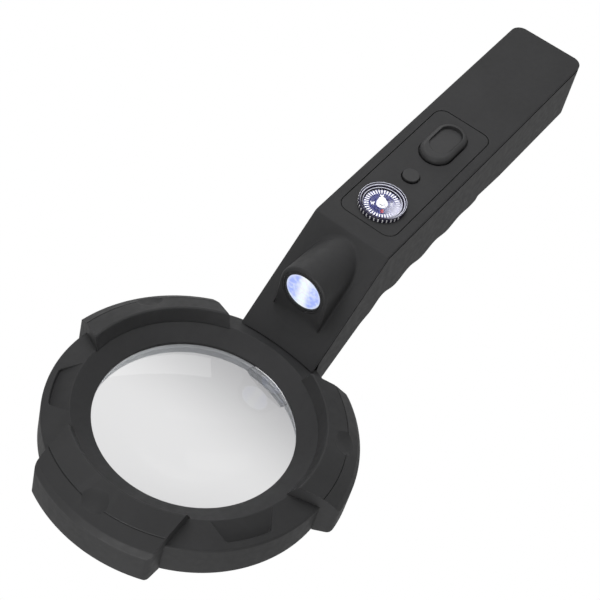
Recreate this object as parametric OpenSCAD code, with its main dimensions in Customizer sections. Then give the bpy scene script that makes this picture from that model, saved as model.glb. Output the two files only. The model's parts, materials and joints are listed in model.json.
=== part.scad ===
// Hand-held illuminated low vision magnifier: a round lens head with three armour bumpers, a sloping neck
// with a hooded lamp, and a handle with a compass, two buttons, two cells and a sliding battery cover.
// Everything is drawn in the head frame (origin on the lens axis, +X towards the handle, +Z along the lens
// axis) and then tilted into the pose in which the magnifier lies on a table.

/* [Lens head] */
// Radius of the clear view through the head
view_r = 31; // [30:0.5:31.5]
// Outer radius of the head ring
ring_r = 45.8; // [45.6:0.1:46.2]
// Depth of the head ring below the edge of the view
ring_drop = 11; // [10.6:0.2:12]
// Radius of the raised inner rim of the head ring
rim_r = 37.5; // [37:0.1:37.8]
// Height of the raised inner rim
rim_z = 3.5; // [3:0.1:4]
// Radius of the main lens
lens_r = 33; // [32.5:0.1:33]
// Bulge of each face of the main lens
lens_sag = 3.6; // [2.5:0.1:3.6]
// Thickness of the main lens at its edge
lens_edge = 2.2; // [1.8:0.1:2.4]
// Radius of the strong inset lens
inset_r = 8.6; // [7:0.1:9]

/* [Bumpers] */
// Outer radius over the armour bumpers
bumper_r = 51; // [50:0.5:52]
// Half the width of each bumper, across its own centre line
bumper_half = 21.9; // [20:0.1:22]
// Angle of the two side bumpers from the handle
bumper_angle = 59.3; // [58:0.1:60]
// Radius of the round dimple in each bumper
dimple_r = 4.4; // [3.5:0.1:5]

/* [Handle] */
// Length of the handle's flat top
handle_len = 123.6; // [122:0.2:128]
// Width of the handle
handle_w = 28.7; // [28.5:0.1:30]
// Thickness of the handle, square to its top
handle_t = 23; // [22.8:0.1:24]
// Slope of the handle's top above the lens plane
handle_rise = 8; // [7:0.5:9]
// Slope of the neck's top above the lens plane
neck_rise = 47; // [46:0.5:48]
// Distance of the bend between neck and handle from the lens axis
bend_x = 69.8; // [69.4:0.1:70.2]
// Height of that bend
bend_z = 33.8; // [33.4:0.1:34.2]
// Spacing of the finger ribs
rib_pitch = 15.5; // [15:0.1:16]

/* [Lamp] */
// Outer radius of the lamp hood
hood_r = 8.9; // [8.8:0.1:9.2]
// Height of the hood's centre line
hood_z = 22.9; // [22.6:0.1:23.2]
// Distance of the hood's face from the lens axis
hood_x = 46.9; // [46.5:0.1:47.3]
// Radius of the lamp's clear front
lamp_r = 6.4; // [6:0.1:6.6]
// Downward tip of the lamp
lamp_dip = 4; // [3:0.5:5]

/* [Controls] */
// Length of the control panel
panel_len = 60.4; // [60:0.1:61]
// Width of the control panel
panel_w = 21.6; // [21:0.1:22]
// Radius of the compass rim
compass_r = 8; // [7.6:0.1:8.2]
// Length of the oval lamp button
oval_len = 20; // [19:0.1:20.4]
// Width of the oval lamp button
oval_w = 11.6; // [11:0.1:12]
// Radius of the small round button
round_r = 2.9; // [2.6:0.1:3.1]
// Travel of the oval button
oval_travel = 1.2; // [0.8:0.1:1.3]
// Travel of the round button
round_travel = 0.7; // [0.5:0.1:0.8]

/* [Hidden] */

$fn = 96;
fine = 200;
far = 100;

// Lens seat: a lip over the lens, and room below it for the gasket and the retainer
ring_edge_z = 0.5;
lip_z = -1;
seat_r = lens_r + 0.3;
seat_z = -9.3;
skirt_r = 40.2;
lens_top = -1.45;
face_r = (lens_r * lens_r + lens_sag * lens_sag) / (2 * lens_sag);
touch = 0.02;
gasket_t = 1;
gasket_z = lens_top - lens_edge - gasket_t;
gasket_in = view_r + 0.2;
retainer_r = 40;
retainer_z = -10.9;
retainer_t = 1.5;
retainer_screw_r = 37;

// Inset lens: where it is bonded, and how far its own face bulges
inset_at = [26.6, -6.9];
inset_bulge = 0.5;

// Bumper: V groove along its crest, and the ball that cuts its dimple
groove_at = [45.9, 4.6];
groove = 0.35;
bumper_corner = 2.5;
dimple_ball = 9;
dimple_at = [45, 5];
dimple_lean = 29;

// Handle frame: origin at the middle of the bend, +X along the handle's top, +Z out of it
neck_angle = neck_rise - handle_rise;
half_w = handle_w / 2;
corner_r = 4;
wall = 2;
deck_edge = 0.6;
seam = 1;
deck_t = 2.8;
slip = 0.1;
lip_t = 1.2;
lip_drop = 1.5;
neck_len = 46;

// Underside of the handle: finger ribs, a thumb notch, then flat to the end
rib_first = -4;
rib_heights = [4.2, 2.2, 1.8, 1.6, 0.8];
valley_z = -22.6;
rib_last = rib_first + rib_pitch * (len(rib_heights) - 1);
notch_z = -21.5;
notch_low = -23.1;
neck_back = [[-27.5, -39.8], [-7.4, -27.7]];
neck_hollow = [[-21.5, -33], [-6, -24]];
neck_skin = 6;
notch_s = rib_last + 3.5;
flat_s = 76;
floor_z = -20.2;
end_round = 3;

// Where the panel and its controls sit along the handle
panel_s = 6.4;
panel_t = 1.4;
panel_corner = 3.7;
panel_gap = 0.2;
compass_s = 16.5;
round_s = 32.9;
oval_s = 52.3;
button_gap = 0.2;
flange_t = 0.8;
flange_z = -panel_t - 0.15 - flange_t;
oval_rise = 2.3;
oval_step = 0.35;
dish_s = 0.9;
dish_len = 14.4;
dish_w = 8.2;
dish_near = 0.25;
dish_tilt = 4;
round_rise = 1.0;
round_step = 0.3;

// Compass: case in the panel, and the card that turns on its needle
case_low = -6.5;
case_floor = -5.7;
case_rise = 1.9;
case_seat = 0.7;
case_r = 7;
bore_r = 6.6;
card_z = -0.5;
card_t = 0.4;
card_r = 6.1;
card_hub = 1.1;

// Lamp: set a little below the hood's centre, just behind its flat face
lamp_drop = 0.4;
lamp_set = 0.6;
lamp_dome = 0.4;
bezel_set = 0.1;
bulkhead_t = 2.6;
hood_wall = 1.4;
hood_top = 20;
lamp_floor_z = 15.6;
lamp_bore = lamp_r + 0.75;

// Circuit board and its switches
board_s = 27;
board_len = 35;
board_w = 11.6;
board_z = -9;
board_t = 1.2;
board_screw_s = [board_s + 12, board_s + 31.5];
board_post_r = 2.4;
switch_top = -5.9;
stem_tip = -4.3;

// Battery bay and its sliding cover
cover_s = 64;
cover_w = 21.6;
cover_top = -19.2;
cover_slip = 0.2;
tongue_w = 24.2;
tongue_t = 0.9;
cell_r = 5.25;
cell_len = 44.5;
nub_len = 1;
cell_y = 5.45;
cell_z = -13.6;
bay_near = 70;
bay_far = 121.5;
contact_t = 0.4;

// Screw places: [along the handle, across it]
shell_screw_at = [[3.75, 8.9], [3.75, -8.9], [50.25, 8.9], [50.25, -8.9]];
screw_r = 1.1;
head_r = 2.1;
boss_r = 2.7;
post_r = 3.8;
screw_meet = -13;

// Resting pose: the lens head's lower edge and the end of the handle touch the table
end_corner = head_point([handle_len - end_round, -handle_t + end_round]);
reach = [end_corner[0] - ring_r, end_corner[1] + ring_drop];
rest_tilt = atan2(reach[1], reach[0]) - asin(end_round / norm(reach));
end_top = head_point([handle_len, 0]);
rest_z = ring_drop * cos(rest_tilt) + ring_r * sin(rest_tilt);
x_low = -bumper_r * cos(rest_tilt) - ring_drop * sin(rest_tilt);
x_high = end_top[0] * cos(rest_tilt) + end_top[1] * sin(rest_tilt);
rest_x = -(x_low + x_high) / 2;

// A point of the handle frame's side view, in the head frame's side view
function head_point(p) = [bend_x + p[0] * cos(handle_rise) - p[1] * sin(handle_rise),
                          bend_z + p[0] * sin(handle_rise) + p[1] * cos(handle_rise)];
// A point of the handle frame's side view, down the neck's slope and below its surface
function on_neck(down, depth) = [depth * sin(neck_angle) - down * cos(neck_angle),
                                 -depth * cos(neck_angle) - down * sin(neck_angle)];
// Where two skins at one depth meet under the bend
function under_bend(depth) = [depth * tan(neck_angle / 2), -depth];
// Depth of the ribbed underside
function rib_phase(s) = (s - rib_first) / rib_pitch;
function rib_index(s) = max(0, min(len(rib_heights) - 1, round(rib_phase(s))));
function rib_z(s) = valley_z - rib_heights[rib_index(s)] * pow(cos(180 * (rib_phase(s) - rib_index(s))), 2);
// Height of the head ring's sloping top
function ring_top(r) = rim_z - (r - rim_r) * (rim_z - ring_edge_z) / (ring_r - rim_r);
// Height of each bulging lens face above the lens's edge
function bulge(r) = sqrt(face_r * face_r - r * r) - (face_r - lens_sag);

module in_pose() translate([rest_x, 0, rest_z]) rotate([0, rest_tilt, 0]) children();
module on_handle() in_pose() translate([bend_x, 0, bend_z]) rotate([0, -handle_rise, 0]) children();
module on_lamp() in_pose() lamp_local() children();
// A side view drawn in X and Z, made width wide
module across(width) rotate([90, 0, 0]) linear_extrude(height = width, center = true) children();
// A section drawn in Y and Z, run from x0 to x1
module along(x0, x1) translate([x0, 0, 0]) rotate([90, 0, 90]) linear_extrude(height = x1 - x0) children();
module tube(r_out, r_in, h) difference() {
    cylinder(r = r_out, h = h);
    translate([0, 0, -1]) cylinder(r = r_in, h = h + 2);
}

// ---------- Plan and side outlines ----------

module rounded_rect(length, width, r) {
    translate([r, -width / 2]) square([length - 2 * r, width]);
    translate([0, -width / 2 + r]) square([length, width - 2 * r]);
    for (x = [r, length - r], y = [-width / 2 + r, width / 2 - r]) translate([x, y]) circle(r);
}

module oval_outline(length, width) {
    square([length - width, width], center = true);
    for (x = [-1, 1]) translate([x * (length - width) / 2, 0]) circle(d = width);
}

// Plan of neck and handle, with the far corners rounded
module wand_plan(inset) {
    r = corner_r - inset;
    w = handle_w - 2 * inset;
    reach_x = handle_len - inset;
    translate([-far / 2, -w / 2]) square([far / 2 + reach_x - r, w]);
    translate([0, -w / 2 + r]) square([reach_x, w - 2 * r]);
    for (y = [-1, 1]) translate([reach_x - r, y * (w / 2 - r)]) circle(r);
}

module wand_side() {
    ribs = [for (s = [rib_first : 1 : rib_last]) [s, rib_z(s)]];
    polygon(concat([[0, 0], on_neck(neck_len, 0)], neck_back, ribs,
                   [[notch_s - 1, notch_low], [notch_s, notch_z], [flat_s, -handle_t],
                    [handle_len - end_round, -handle_t], [handle_len, -handle_t + end_round],
                    [handle_len, 0]]));
    translate([handle_len - end_round, -handle_t + end_round]) circle(end_round);
}

// The top skin of neck and handle, between two depths
module skin_side(top, bottom, end) {
    polygon([under_bend(top), on_neck(neck_len, top), on_neck(neck_len, bottom), under_bend(bottom),
             [end, -bottom], [end, -top]]);
}

module cavity_side() {
    polygon(concat([under_bend(-1), on_neck(neck_len, -1), on_neck(neck_len, neck_skin)], neck_hollow,
                   [[2, floor_z], [handle_len - wall, floor_z], [handle_len - wall, 1]]));
}

// ---------- Lens head ----------

module ring_section() {
    polygon([[view_r, 0], [rim_r, rim_z], [ring_r, ring_edge_z], [ring_r, -ring_drop], [skirt_r, -ring_drop],
             [skirt_r, seat_z], [seat_r, seat_z], [seat_r, lip_z], [view_r, lip_z]]);
}

// Recess in the ring's top, half way between two bumpers
module ring_pocket() {
    inner_r = rim_r + 0.6;
    outer_r = 43.4;
    depth = 1.5;
    intersection() {
        rotate_extrude($fn = fine) polygon([[inner_r, ring_top(inner_r)],
            [outer_r, ring_top(outer_r) - depth], [outer_r, 10], [inner_r, 10]]);
        linear_extrude(height = 10) polygon([[30, -11.5], [50, -4], [50, 4], [30, 11.5]]);
    }
}

module bumper_section() {
    foot = [36.7, 3.07];
    crest = [39, 7.6];
    polygon([[ring_r, ring_edge_z], [rim_r, rim_z], foot, crest, groove_at + groove * [-1, 0.5],
             groove_at - [0, groove], groove_at + groove * [1, -0.5], [bumper_r - 1.4, 1.6],
             [bumper_r - 0.5, 0.8], [bumper_r, -0.4], [bumper_r, -ring_drop], [ring_r, -ring_drop]]);
}

module bumper_plan() {
    r = bumper_corner;
    x = sqrt(pow(bumper_r - r, 2) - pow(bumper_half - r, 2));
    a = atan2(bumper_half - r, x);
    polygon([[0, 0], far * [cos(a), -sin(a)], far * [cos(a), sin(a)]]);
    translate([0, -bumper_half]) square([x, 2 * bumper_half]);
    for (y = [-1, 1]) translate([x, y * (bumper_half - r)]) circle(r);
}

module bumper(angle) {
    dish_up = sqrt(dimple_ball * dimple_ball - dimple_r * dimple_r);
    color("#2b2b2c") in_pose() rotate([0, 0, angle]) difference() {
        intersection() {
            rotate_extrude($fn = fine) bumper_section();
            translate([0, 0, -20]) linear_extrude(height = 40) bumper_plan();
        }
        translate([dimple_at[0], 0, dimple_at[1]] + dish_up * [sin(dimple_lean), 0, cos(dimple_lean)])
            sphere(dimple_ball);
    }
}
module bumper_left() bumper(bumper_angle);
module bumper_front() bumper(180);
module bumper_right() bumper(-bumper_angle);

// The two bulging faces are parts of large spheres
module main_lens() color("#dfe8ee", 0.4) in_pose() intersection() {
    translate([0, 0, lens_top - lens_edge - lens_sag - 1]) cylinder(r = lens_r, h = 20, $fn = fine);
    translate([0, 0, lens_top + lens_sag - face_r]) sphere(face_r, $fn = 600);
    translate([0, 0, lens_top - lens_edge - lens_sag + face_r]) sphere(face_r, $fn = 600);
}

// A strong little lens bonded to the upper face, cut off where the main lens ends
module inset_lens() color("#dfe8ee", 0.5) in_pose() {
    cap_r = (inset_r * inset_r + inset_bulge * inset_bulge) / (2 * inset_bulge);
    seat = lens_top + bulge(norm(inset_at));
    difference() {
        intersection() {
            translate([inset_at[0], inset_at[1], seat + inset_bulge - cap_r]) sphere(cap_r, $fn = fine);
            translate([inset_at[0], inset_at[1], seat - 4]) cylinder(r = inset_r, h = 10);
            translate([0, 0, -10]) cylinder(r = view_r - 0.3, h = 20, $fn = fine);
        }
        translate([0, 0, lens_top + lens_sag - face_r]) sphere(face_r, $fn = 600);
    }
}

// Soft ring whose top follows the lens's lower face
module lens_gasket() color("#e6e9ea") in_pose() rotate_extrude($fn = fine) polygon(
    [[gasket_in, gasket_z], [seat_r - 0.1, gasket_z], [seat_r - 0.1, lens_top - lens_edge - touch],
     [lens_r, lens_top - lens_edge - touch], [gasket_in, lens_top - lens_edge - bulge(gasket_in) - touch]]);

module at_retainer_screws() for (a = [30 : 60 : 330]) rotate([0, 0, a])
    translate([retainer_screw_r, 0, 0]) children();

module lens_retainer() color("#d9dfe2", 0.8) in_pose() difference() {
    sleeve_r = seat_r - 0.15;
    flange_top = retainer_z + retainer_t;
    rotate_extrude($fn = fine) polygon([[view_r, gasket_z], [sleeve_r, gasket_z], [sleeve_r, flange_top],
        [retainer_r, flange_top], [retainer_r, retainer_z], [view_r + 2, retainer_z],
        [view_r, retainer_z + 1.9]]);
    at_retainer_screws() translate([0, 0, retainer_z - 1]) {
        cylinder(r = 1, h = 5);
        cylinder(r = 1.9, h = 1.7);
    }
}
module retainer_screws() color("silver") in_pose() at_retainer_screws()
    cross_screw(retainer_z + 0.1, 0.6, 1.8, 0.8, 4.5);

// A screw with its head's face at z, pointing up, with a cross recess
module cross_screw(z, head_h, head, shank, length) difference() {
    union() {
        translate([0, 0, z]) cylinder(r = head, h = head_h);
        translate([0, 0, z]) cylinder(r = shank, h = length);
    }
    for (a = [0, 90]) rotate([0, 0, a]) translate([-head * 0.65, -head * 0.12, z - 1])
        cube([head * 1.3, head * 0.24, 1 + head_h * 0.6]);
}

// ---------- Front shell: head ring, neck top, handle top and lamp hood in one moulding ----------

module hood_outline(r) {
    circle(r);
    translate([-r, -far]) square([2 * r, far]);
}

module in_hood(x0, x1, r) translate([0, 0, hood_z]) along(x0, x1) hood_outline(r);

// Everything on the handle side of the lamp's raked face, set back by depth
module behind_face(depth) translate([hood_x, 0, hood_z]) rotate([0, -lamp_dip, 0])
    translate([depth, -far / 2, -far / 2]) cube([far, far, far]);

module skins() {
    intersection() {
        union() {
            across(handle_w) skin_side(0, deck_edge, handle_len);
            across(handle_w - 2 * (wall + slip)) skin_side(0.5, deck_t, handle_len - wall - slip);
        }
        translate([0, 0, -60]) linear_extrude(height = 70) wand_plan(0);
    }
    deck_lip();
    for (p = shell_screw_at) translate([p[0], p[1], screw_meet]) cylinder(r = boss_r, h = -screw_meet - 1);
}

// Rim that reaches down inside the rear shell and lines the two shells up
module deck_lip() intersection() {
    translate([2, -half_w, -deck_t - lip_drop]) cube([handle_len, handle_w, deck_t + lip_drop - 1]);
    translate([0, 0, -20]) linear_extrude(height = 40) difference() {
        wand_plan(wall + slip);
        wand_plan(wall + slip + lip_t);
    }
}

// Everything above the neck, down to a depth below its slope
module over_neck(depth) to_head() across(handle_w) polygon(
    [under_bend(depth), on_neck(neck_len, depth), [-far, 0], [-far, hood_top], [hood_top, hood_top]]);

module hood_body() intersection() {
    in_hood(hood_x - 5, bend_x - 1, hood_r);
    behind_face(0);
    over_neck(deck_edge);
}

// Hood hollow: the lamp's bore through the flat face, and a room behind a bulkhead
module hood_hollow() {
    intersection() {
        in_hood(hood_x, bend_x - 2, hood_r - hood_wall);
        behind_face(bulkhead_t);
        translate([hood_x, -far / 2, lamp_floor_z]) cube([far, far, far]);
    }
    lamp_local() translate([0, 0, -2]) cylinder(r = lamp_bore, h = 8);
}

// Frames inside the head frame
module to_head() translate([bend_x, 0, bend_z]) rotate([0, -handle_rise, 0]) children();
module lamp_local() translate([hood_x, 0, hood_z]) rotate([0, 90 - lamp_dip, 0])
    translate([lamp_drop, 0, 0]) children();

module panel_cuts() {
    translate([panel_s - panel_gap, 0, -panel_t]) linear_extrude(height = 5)
        rounded_rect(panel_len + 2 * panel_gap, panel_w + 2 * panel_gap, panel_corner + panel_gap);
    translate([compass_s, 0, -8]) cylinder(r = case_r + 0.6, h = 10);
    translate([round_s, 0, -8]) cylinder(r = round_r + 1.2, h = 10);
    translate([oval_s, 0, -8]) linear_extrude(height = 10) oval_outline(oval_len + 2.9, oval_w + 2.9);
}

module front_shell() color("#303031") in_pose() {
    difference() {
        union() {
            rotate_extrude($fn = fine) ring_section();
            difference() {
                union() {
                    to_head() skins();
                    hood_body();
                }
                translate([0, 0, -40]) cylinder(r = ring_r - 3, h = 36, $fn = fine);
                translate([0, 0, -ring_drop - 30]) cylinder(r = far, h = 30);
            }
        }
        hood_hollow();
        for (a = [120, -120]) rotate([0, 0, a]) ring_pocket();
        to_head() panel_cuts();
        to_head() for (p = shell_screw_at) translate([p[0], p[1], screw_meet - 1]) cylinder(r = 0.95, h = 10);
        at_retainer_screws() translate([0, 0, -ring_drop - 1]) cylinder(r = 0.8, h = 6.2);
    }
}

// ---------- Rear shell and battery cover ----------

// Section of the battery cover: a plate with a tongue along each side
module cover_section(gap) {
    w = cover_w / 2 + gap;
    t = tongue_w / 2 + gap;
    top = cover_top + gap;
    shelf = cover_top - tongue_t - gap / 4;
    polygon([[-w, -far], [w, -far], [w, shelf], [t, shelf], [t, top], [-t, top], [-t, shelf], [-w, shelf]]);
}

module cell_bay_wall() translate([bay_near - 1.65, -half_w + 1, floor_z - 1]) cube([1.6, handle_w - 2, 15]);

module rear_shell() color("#303031") in_pose() difference() {
    to_head() difference() {
        union() {
            intersection() {
                difference() {
                    across(handle_w) wand_side();
                    across(handle_w - 2 * wall) cavity_side();
                }
                translate([0, 0, -60]) linear_extrude(height = 70) wand_plan(0);
            }
            cell_bay_wall();
            for (p = shell_screw_at) translate([p[0], p[1], valley_z + 0.8])
                cylinder(r = post_r, h = screw_meet - valley_z - 0.8 - slip);
            for (s = board_screw_s) translate([s, 0, floor_z - 1])
                cylinder(r = board_post_r, h = board_z - board_t - floor_z + 1 - slip / 2);
        }
        across(far) polygon([on_neck(neck_len + 20, deck_edge + seam), under_bend(deck_edge + seam),
                             [far * 2, -deck_edge - seam], [far * 2, far], [-far * 2, far]]);
        along(cover_s - cover_slip, far * 2) cover_section(cover_slip);
        for (s = board_screw_s) translate([s, 0, board_z - 5]) cylinder(r = 0.85, h = 5);
        for (p = shell_screw_at) translate([p[0], p[1], 0]) {
            translate([0, 0, -30]) cylinder(r = screw_r + 0.15, h = 30);
            translate([0, 0, -30]) cylinder(r = head_r + 0.25, h = 30 + valley_z + 3.6);
        }
    }
    translate([0, 0, -60]) cylinder(r = ring_r + slip, h = 90, $fn = fine);
}
module battery_cover() color("#343435") on_handle() difference() {
    intersection() {
        across(handle_w) wand_side();
        along(cover_s, handle_len + 5) cover_section(0);
        translate([0, 0, -60]) linear_extrude(height = 70) wand_plan(0);
    }
    translate([cover_s + 3, -cover_w / 2 + 2, cover_top - 1.5])
        cube([handle_len - cover_s - 6, cover_w - 4, 5]);
    for (i = [0 : 3]) translate([flat_s + 2.2 * i, -6, -handle_t - 0.6]) cube([1.1, 12, 1]);
}

// ---------- Lamp ----------

module lamp_bezel() color("#2a2a2b") on_lamp() translate([0, 0, bezel_set])
    tube(lamp_bore - 0.05, lamp_r + 0.05, 0.98);
module lamp_lens() color("#cfdcff", 0.8) on_lamp() {
    ball = (lamp_r * lamp_r + lamp_dome * lamp_dome) / (2 * lamp_dome);
    translate([0, 0, lamp_set]) cylinder(r = lamp_r, h = 1.7);
    intersection() {
        translate([0, 0, lamp_set - lamp_dome + ball]) sphere(ball, $fn = fine);
        translate([0, 0, lamp_set - 1]) cylinder(r = lamp_r, h = 1.5);
    }
}
module lamp_reflector() color("#e8e8ea") on_lamp() translate([0, 0, 2.4]) rotate_extrude() polygon(
    [[lamp_r + 0.3, 0], [lamp_r + 0.3, 1.2], [3.4, 7.2], [2.7, 7.2], [2.7, 6.4], [lamp_r - 0.6, 0]]);
module lamp_led() color("#f6f3d0") on_lamp() {
    translate([0, 0, 6.6]) cylinder(r = 2.5, h = 3.6);
    translate([0, 0, 6.6]) sphere(2.5);
    translate([0, 0, 9.7]) cylinder(r = 2.9, h = 0.9);
}
module lamp_board() color("#e9e9e4") on_lamp() translate([0, 0, 10.7]) difference() {
    cylinder(r = 6.2, h = 1.2);
    for (y = [-1, 1]) translate([0, y * 4.2, -1]) cylinder(r = 0.6, h = 4);
}

// ---------- Control panel, compass and buttons ----------

module control_panel() color("#2d2d2e") on_handle() difference() {
    translate([panel_s, 0, -panel_t + 0.02]) linear_extrude(height = panel_t - 0.02)
        rounded_rect(panel_len, panel_w, panel_corner);
    translate([compass_s, 0, -5]) cylinder(r = case_r + 0.1, h = 10);
    translate([round_s, 0, -5]) cylinder(r = round_r + button_gap, h = 10);
    translate([oval_s, 0, -5]) linear_extrude(height = 10)
        oval_outline(oval_len + 2 * button_gap, oval_w + 2 * button_gap);
}

module compass_case() color("#dfe4ea", 0.5) on_handle() translate([compass_s, 0, 0]) rotate_extrude() {
    polygon([[0, case_low], [case_r, case_low], [case_r, 0], [compass_r, 0], [compass_r, case_rise - 0.4],
             [compass_r - 0.4, case_rise], [bore_r, case_seat], [bore_r, case_floor], [0, case_floor]]);
}
module compass_window() color("#eef3f8", 0.35) on_handle() translate([compass_s, 0, 0.2]) {
    dome = 0.7;
    r = bore_r - 0.05;
    ball = (r * r + dome * dome) / (2 * dome);
    cylinder(r = r, h = 0.5);
    intersection() {
        translate([0, 0, 0.5 + dome - ball]) sphere(ball, $fn = fine);
        translate([0, 0, 0.4]) cylinder(r = r, h = 3);
    }
}
module compass_card() color("#3a3c6a") on_handle() translate([compass_s, 0, card_z]) difference() {
    union() {
        cylinder(r = card_r, h = card_t);
        translate([0, 0, -card_hub]) cylinder(r = 1.1, h = card_hub + card_t / 2);
    }
    translate([0, 0, -card_hub - 1]) cylinder(r = 0.35, h = card_hub + 0.95);
}
// Needle that carries the card, with a foot on the case's floor
module compass_pivot() color("gold") on_handle() translate([compass_s, 0, case_floor]) {
    cylinder(r = 0.3, h = card_z - case_floor - 0.15);
    cylinder(r = 1, h = 0.8);
}

module lamp_button() color("#262627") on_handle() translate([oval_s, 0, 0]) difference() {
    union() {
        translate([0, 0, flange_z]) linear_extrude(height = oval_rise - flange_z - 2 * oval_step)
            oval_outline(oval_len, oval_w);
        translate([0, 0, oval_rise - 2 * oval_step]) linear_extrude(height = oval_step)
            oval_outline(oval_len - 0.5, oval_w - 0.5);
        translate([0, 0, oval_rise - oval_step]) linear_extrude(height = oval_step)
            oval_outline(oval_len - 1.4, oval_w - 1.4);
        translate([0, 0, flange_z]) linear_extrude(height = flange_t) oval_outline(oval_len + 2, oval_w + 2);
        translate([0, 0, stem_tip]) cylinder(r = 1.6, h = 3);
    }
    // Thumb dish with a sloping floor, deepest at its far end
    intersection() {
        translate([dish_s - dish_len / 2, -oval_w, oval_rise - dish_near]) rotate([0, dish_tilt, 0])
            cube([2 * dish_len, 2 * oval_w, 10]);
        translate([dish_s, 0, 0]) linear_extrude(height = 5) oval_outline(dish_len, dish_w);
    }
}
module mode_button() color("#262627") on_handle() translate([round_s, 0, 0]) {
    translate([0, 0, flange_z]) cylinder(r = round_r, h = round_rise - flange_z - round_step);
    translate([0, 0, round_rise - round_step]) cylinder(r = round_r - round_step, h = round_step);
    translate([0, 0, flange_z]) cylinder(r = round_r + 0.9, h = flange_t);
    translate([0, 0, stem_tip]) cylinder(r = 1.1, h = 3);
}

// Faces of a closed skin over a run of rings that all have the same number of points
function skin_faces(rings, sides) = concat([[for (j = [0 : sides - 1]) j]],
    [[for (j = [sides - 1 : -1 : 0]) (rings - 1) * sides + j]],
    [for (i = [0 : rings - 2], j = [0 : sides - 1]) let(a = i * sides, b = a + sides, k = (j + 1) % sides)
        [a + j, b + j, b + k, a + k]]);

// Coil spring: a round wire swept along a helix, flattened to a cone if the end radii differ
module coil(r0, r1, height, turns, wire) {
    sides = 8;
    steps = round(turns * 16);
    function at(i) = let(f = i / steps, a = 360 * turns * f, r = r0 + (r1 - r0) * f)
        [r * cos(a), r * sin(a), height * f];
    function ring_at(i) = let(f = i / steps, a = 360 * turns * f, p = at(i)) [for (j = [0 : sides - 1])
        let(b = 360 * j / sides) p + wire * [cos(b) * cos(a), cos(b) * sin(a), sin(b)]];
    polyhedron(points = [for (i = [0 : steps]) each ring_at(i)], faces = skin_faces(steps + 1, sides));
}
module lamp_button_spring() color("silver") on_handle() translate([oval_s, 0, switch_top + 0.3])
    coil(2.6, 2.6, flange_z - switch_top - 0.6, 3.5, 0.2);
module mode_button_spring() color("silver") on_handle() translate([round_s, 0, switch_top + 0.3])
    coil(2.2, 2.2, flange_z - switch_top - 0.6, 3.5, 0.2);

// ---------- Electronics ----------

module tact_switch(s) on_handle() translate([s, 0, board_z]) {
    translate([-3, -3, 0]) cube([6, 6, switch_top - board_z]);
    cylinder(r = 1.7, h = switch_top - board_z + 0.2);
}
module lamp_switch() color("#3b3b3b") tact_switch(oval_s);
module mode_switch() color("#3b3b3b") tact_switch(round_s);

module circuit_board() color("#1d6b3a") on_handle() difference() {
    translate([board_s, -board_w / 2, board_z - board_t]) cube([board_len, board_w, board_t]);
    for (s = board_screw_s) translate([s, 0, -20]) cylinder(r = 1.2, h = 20);
}
module driver_parts() color("#222222") on_handle() {
    translate([board_s + 15.6, -4.8, board_z]) cube([4.6, 4.2, 1.4]);
    translate([board_s + 18, 3, board_z]) cylinder(r = 1.9, h = 2.2);
    for (s = [9.8, 29], y = [-5.2, 4]) translate([board_s + s, y, board_z]) cube([2.4, 1.2, 0.6]);
}
module board_screws() color("silver") on_handle() for (s = board_screw_s) translate([s, 0, board_z])
    mirror([0, 0, 1]) cross_screw(-0.6, 0.6, 1.9, 0.8, 4);

// ---------- Battery ----------

// Cell with its nub at the origin end, running along +X
module cell() rotate([0, 90, 0]) rotate_extrude() polygon(
    [[0, 0], [1.9, 0], [1.9, nub_len], [cell_r - 0.4, nub_len], [cell_r, nub_len + 0.4],
     [cell_r, cell_len - 0.4], [cell_r - 0.4, cell_len], [0, cell_len]]);
module cell_left() color("#b08d3c") on_handle() translate([bay_near + contact_t, cell_y, cell_z]) cell();
module cell_right() color("#b08d3c") on_handle() translate([bay_far - contact_t, -cell_y, cell_z])
    rotate([0, 0, 180]) cell();

spring_room = bay_far - bay_near - 2 * contact_t - cell_len;
module cell_springs() color("silver") on_handle() {
    for (end = [[bay_far - contact_t - 0.4, cell_y, -90], [bay_near + contact_t + 0.4, -cell_y, 90]])
        translate([end[0], end[1], cell_z]) rotate([0, end[2], 0]) coil(4, 2.4, spring_room - 0.8, 3, 0.35);
}
module cell_contacts() color("#c9c9c4") on_handle() {
    translate([bay_near, 0.6, cell_z - 4.5]) cube([contact_t, 9.6, 9]);
    translate([bay_near, -10.2, cell_z - 4.5]) cube([contact_t, 9.6, 9]);
    translate([bay_far - contact_t, -10.2, cell_z - 3.2]) cube([contact_t, 20.4, 7.4]);
}

// ---------- Fasteners and wires ----------

module shell_screws() color("silver") on_handle() for (p = shell_screw_at) translate([p[0], p[1], 0])
    cross_screw(valley_z + 2, 1.5, head_r, 0.9, 13);

// A round wire through a list of points
module wire(points, r) {
    sides = 8;
    n = len(points);
    function heading(i) = let(d = points[min(n - 1, i + 1)] - points[max(0, i - 1)]) d / norm(d);
    function side_of(i) = let(h = heading(i), c = cross(h, [0, 1, 0.2])) c / norm(c);
    polyhedron(points = [for (i = [0 : n - 1], j = [0 : sides - 1])
            let(u = side_of(i), v = cross(heading(i), u), b = 360 * j / sides)
            points[i] + r * (u * cos(b) + v * sin(b))],
        faces = skin_faces(n, sides));
}
// A smooth run between two points that leaves and arrives along the given arms
function bow(p0, arm0, p1, arm1) = [for (i = [0 : 14]) let(t = i / 14, u = 1 - t)
    u * u * u * p0 + 3 * u * u * t * (p0 + arm0) + 3 * u * t * t * (p1 + arm1) + t * t * t * p1];
wire_r = 0.6;
// From the lamp's room, under the neck, to the board's near edge
module lamp_wire(side) on_handle() wire(bow([-11.8, 3 * side, -10.8], [6, 0, -2.5],
    [board_s - 0.3, 3 * side, -9.6], [-12, 0.5 * side, -3]), wire_r);
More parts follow.
